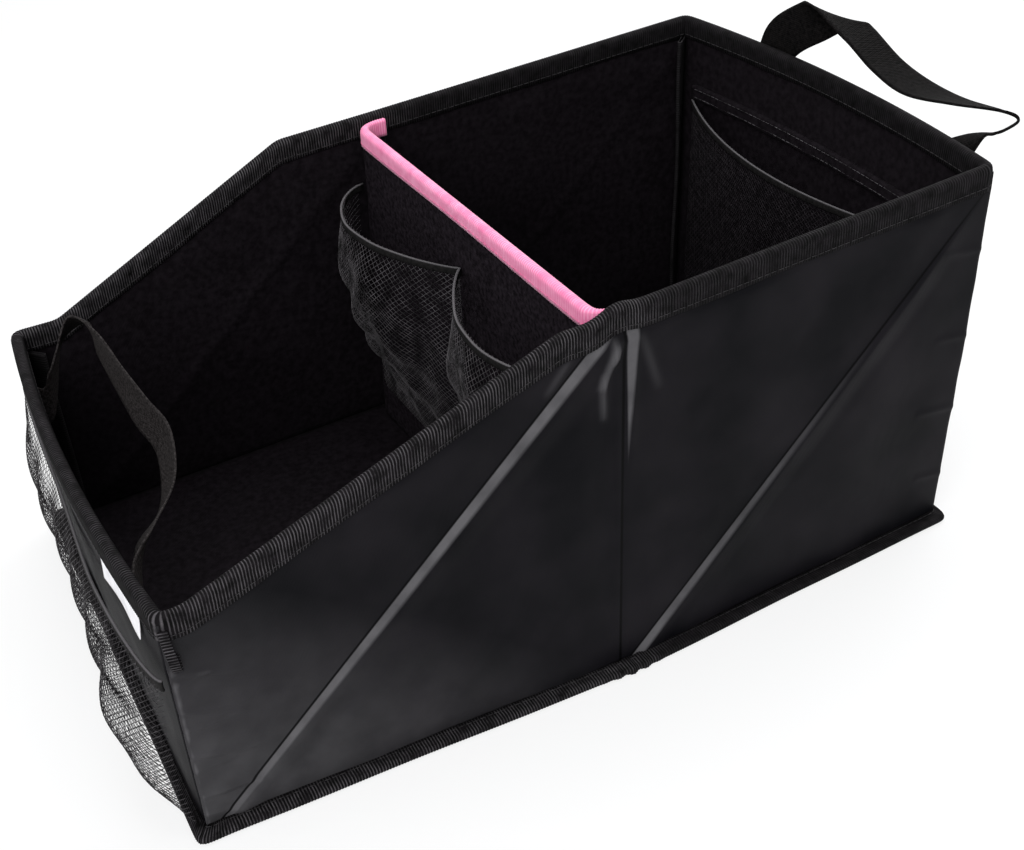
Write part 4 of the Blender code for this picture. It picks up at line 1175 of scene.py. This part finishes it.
def ribbon(name, route, widths, width, thickness, finish, cup=0.0):
    """A flat woven band along a smooth route, its width turning with the given directions."""
    centres = curve_through(route)
    turns = unit(curve_through(unit(np.array(widths, dtype=float))))
    face = np.cross(unit(np.gradient(centres, axis=0)), turns)
    shares = np.linspace(-0.5, 0.5, 13)
    grid = np.stack([centres + turns * (s * width) + face * (cup * (4 * s * s - 1 / 3))
                     for s in shares], axis=1)
    run = distances(centres)
    uv = np.stack(np.broadcast_arrays(run[:, None], (shares * width)[None, :]), axis=-1)
    return surface(name, grid, finish, thickness, 0.0, uv=uv)


def make_handle(looks):
    rim = REAR_HEIGHT
    low = rim - HANDLE_FOOT_DROP
    rest = HANDLE_THICKNESS / 2 + 2 * GAP

    def seat(y, z):
        return (float(rear_x(y, z, 0.0)) + rest, y, z)

    def along_wall(y):
        step = HANDLE_WIDTH / 2
        rise = float(rear_x(y + step, low, 0.0) - rear_x(y - step, low, 0.0))
        return np.array((rise, HANDLE_WIDTH, 0.0)) / math.hypot(rise, HANDLE_WIDTH)

    def over_rim(y, z):
        return (float(rear_x(y, rim, -RIM_SLOT - TAPE)) + rest, y, z)

    def loose(out, along, up):
        return (REAR + HANDLE_REACH * out, HALF_WIDTH * along, rim + HANDLE_RISE * up)

    far = HANDLE_FAR_FOOT
    near = HANDLE_NEAR_FOOT
    far_edge = -along_wall(far)
    near_edge = along_wall(near)
    across_leg = (0.05, -0.75, -0.65)
    flat_leg = (0.97, 0.20, -0.06)
    on_edge = (0.70, 0.60, -0.38)
    stations = [(seat(far, low), far_edge), (over_rim(far - 0.001, rim - 0.014), across_leg),
                (loose(0.31, 0.40, 0.15), across_leg), (loose(0.37, 0.26, 0.67), across_leg),
                (loose(0.44, 0.12, 1.00), (0.75, -0.55, -0.35)), (loose(0.51, -0.01, 0.78), flat_leg),
                (loose(0.60, -0.17, 0.33), flat_leg), (loose(0.70, -0.33, 0.07), flat_leg),
                (loose(0.84, -0.51, 0.04), (0.85, 0.45, -0.25)), (loose(1.00, -0.71, 0.11), on_edge),
                (loose(1.01, -0.78, 0.07), on_edge), (loose(0.79, -0.80, 0.02), on_edge),
                (loose(0.58, -0.80, 0.00), on_edge), (loose(0.36, -0.77, -0.02), (0.45, 0.82, -0.35)),
                (over_rim(near - 0.004, rim - 0.014), near_edge),
                (over_rim(near, rim - 0.028), near_edge), (seat(near, low), near_edge)]
    route, widths = zip(*stations)
    made = ribbon("handle_webbing", route, widths, HANDLE_WIDTH, HANDLE_THICKNESS * 0.8,
                  looks["webbing"], 0.0004)
    dress(made, "webbing", "handle")
    aside = HANDLE_WIDTH / 2 - HANDLE_STITCH_INSET
    corners = [(y, z) for z in (HANDLE_STITCH_INSET, HANDLE_STITCH_TOP) for y in (-aside, aside)]
    lines = []
    for foot in (far, near):
        out = float(rear_x(foot, low, 0.0)) + rest + HANDLE_THICKNESS / 2
        for ends in combinations(corners, 2):
            lines.append(np.array([(out, foot + y, low + z) for y, z in ends]))
    dress(stitched("handle_stitches", lines, looks["thread"], (1, 0, 0)), "webbing")


def make_strap(looks):
    z = FRONT_HEIGHT - RIM_TAPE_DEPTH - 2 * GAP - STRAP_WIDTH / 2
    rest = WALL + 2 * GAP + STRAP_THICKNESS / 2
    foot = STRAP_FOOT

    def seat(y):
        return (float(front_x(y, z, rest)), y, z)

    def loose(out, along, up):
        return (FRONT + STRAP_REACH * out, foot * along, z + STRAP_RISE * up)

    upright = (0.0, 0.0, 1.0)
    stations = [(seat(foot), upright), (loose(0.12, 0.99, 0.00), upright),
                (loose(0.35, 1.02, 0.57), (-0.35, -0.92, 0.18)),
                (loose(0.66, 0.97, 0.96), (-0.50, -0.55, 0.60)),
                (loose(0.75, 0.75, 0.84), (0.02, -0.46, 0.89)),
                (loose(0.83, 0.53, 0.58), (0.19, -0.45, 0.87)),
                (loose(0.91, 0.31, 0.36), (0.34, -0.35, 0.87)),
                (loose(1.00, 0.10, 0.18), (0.38, -0.28, 0.88)),
                (loose(0.78, -0.30, 0.09), (0.47, -0.16, 0.87)),
                (loose(0.34, -0.66, 0.19), (0.51, -0.31, 0.80)),
                (loose(0.13, -0.86, 0.06), upright), (seat(-foot), upright)]
    route, widths = zip(*stations)
    made = ribbon("inner_strap_band", route, widths, STRAP_WIDTH, STRAP_THICKNESS * 0.8,
                  looks["strap"], 0.0006)
    dress(made, "elastic_edge", "inner_strap")


def make_label(looks):
    top = FRONT_HEIGHT - RIM_TAPE_DEPTH - GAP
    start = -HALF_WIDTH + LABEL_FROM_NEAR
    y, share = even_grid(start, start + LABEL_LENGTH, 40, 0, 1, 12)
    z = top - LABEL_HEIGHT + LABEL_HEIGHT * share
    curl = (LABEL_LEAN + 0.0008 * np.sin(y / 0.010)) * (1 - share) ** 1.4
    x = front_x(y, z, -GAP - LABEL_THICKNESS) - curl
    made = surface("blank_label", join(x, y, z), looks["paper"], LABEL_THICKNESS, outward=(-1, 0, 0))
    dress(made, "label", "side_label")


# Solids that stay

def dress_solids(looks):
    boards = ["front_board", "rear_board", "base_board_front", "base_board_rear", "divider_board"]
    boards += [f"side_board_{label}_{end}_{part}"
               for label in SIDES for end in ("front", "rear") for part in ("lower", "upper")]
    for node in boards:
        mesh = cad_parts[node].data
        mesh.materials.clear()
        mesh.materials.append(looks["board"])


# Camera, light and floor

def make_camera():
    data = bpy.data.cameras.new("camera")
    data.sensor_width = 36.0
    data.lens = FOCAL_PIXELS * data.sensor_width / IMAGE_WIDTH
    data.clip_start = 0.01
    camera = placed("camera", data)
    heading, tilt, roll = (math.radians(a) for a in (CAMERA_HEADING, CAMERA_TILT, CAMERA_ROLL))
    ahead = Vector((math.sin(heading) * math.cos(tilt), math.cos(heading) * math.cos(tilt),
                    -math.sin(tilt)))
    right = Vector((math.cos(heading), -math.sin(heading), 0.0))
    up = right.cross(ahead)
    turned_right = right * math.cos(roll) + up * math.sin(roll)
    turned_up = up * math.cos(roll) - right * math.sin(roll)
    turn = Matrix((turned_right, turned_up, -ahead)).transposed().to_4x4()
    camera.matrix_world = Matrix.Translation(CAMERA_PLACE) @ turn
    bpy.context.scene.camera = camera


def area_light(name, spot, aim, size, power):
    data = bpy.data.lights.new(name, "AREA")
    data.shape = "DISK"
    data.size = size
    data.energy = power
    lamp = placed(name, data)
    lamp.location = spot
    lamp.rotation_mode = "QUATERNION"
    lamp.rotation_quaternion = (Vector(aim) - Vector(spot)).to_track_quat("-Z", "Y")


def show_white(tree, under, white, share, output):
    """Show the white to rays from the camera, a mirror or a clear surface, and the other to the rest."""
    path = add_node(tree, "ShaderNodeLightPath")
    rays = ("Is Camera Ray", "Is Glossy Ray", "Is Transmission Ray")
    seen = calculate(tree, "MULTIPLY", largest(tree, [path.outputs[ray] for ray in rays]), share)
    mix = add_node(tree, "ShaderNodeMixShader", {"Fac": seen, 1: under.outputs[0], 2: white.outputs[0]})
    tree.links.new(mix.outputs["Shader"], tree.nodes[output].inputs["Surface"])


def make_world():
    world = bpy.data.worlds.new("studio")
    bpy.context.scene.world = world
    world.use_nodes = True
    tree = world.node_tree
    fill = tree.nodes["Background"]
    fill.inputs["Color"].default_value = (0.95, 0.97, 1.0, 1.0)
    fill.inputs["Strength"].default_value = 0.55
    white = add_node(tree, "ShaderNodeBackground", {"Color": (1.0, 1.0, 1.0, 1.0), "Strength": 1.0})
    show_white(tree, fill, white, 1.0, "World Output")


def make_stage():
    mesh = bpy.data.meshes.new("floor")
    corners = [(x * FLOOR_REACH, y * FLOOR_REACH, -FLOOR_DROP)
               for x, y in ((-1, -1), (1, -1), (1, 1), (-1, 1))]
    mesh.from_pydata(corners, [], [(0, 1, 2, 3)])
    pale = new_material("floor_white", (0.92, 0.92, 0.92), 0.9, 0.0)
    tree = pale.node_tree
    glow = add_node(tree, "ShaderNodeEmission", {"Strength": 1.0})
    show_white(tree, tree.nodes["Principled BSDF"], glow, FLOOR_GLOW, "Material Output")
    mesh.materials.append(pale)
    placed("floor", mesh)
    area_light("key", (-0.9, -0.9, 1.1), (0.0, 0.0, 0.08), 1.2, 16.0)
    area_light("top", (0.2, 0.3, 1.6), (0.0, 0.0, 0.1), 1.4, 14.0)
    area_light("rear", (1.2, 0.6, 0.9), (0.0, 0.0, 0.1), 1.0, 8.0)
    bpy.context.scene.view_settings.view_transform = "Standard"


def main():
    looks = {look: make_material(look) for look in LOOKS}
    make_camera()
    make_world()
    make_stage()
    for make in (dress_solids, make_side_walls, make_end_walls, make_floor_lining, make_base_cloth,
                 make_rim_binding, make_tape_end, make_base_binding, make_corner_bindings, make_divider,
                 make_divider_binding, make_pockets, make_slip_pocket, make_handle, make_strap,
                 make_label):
        make(looks)


main()
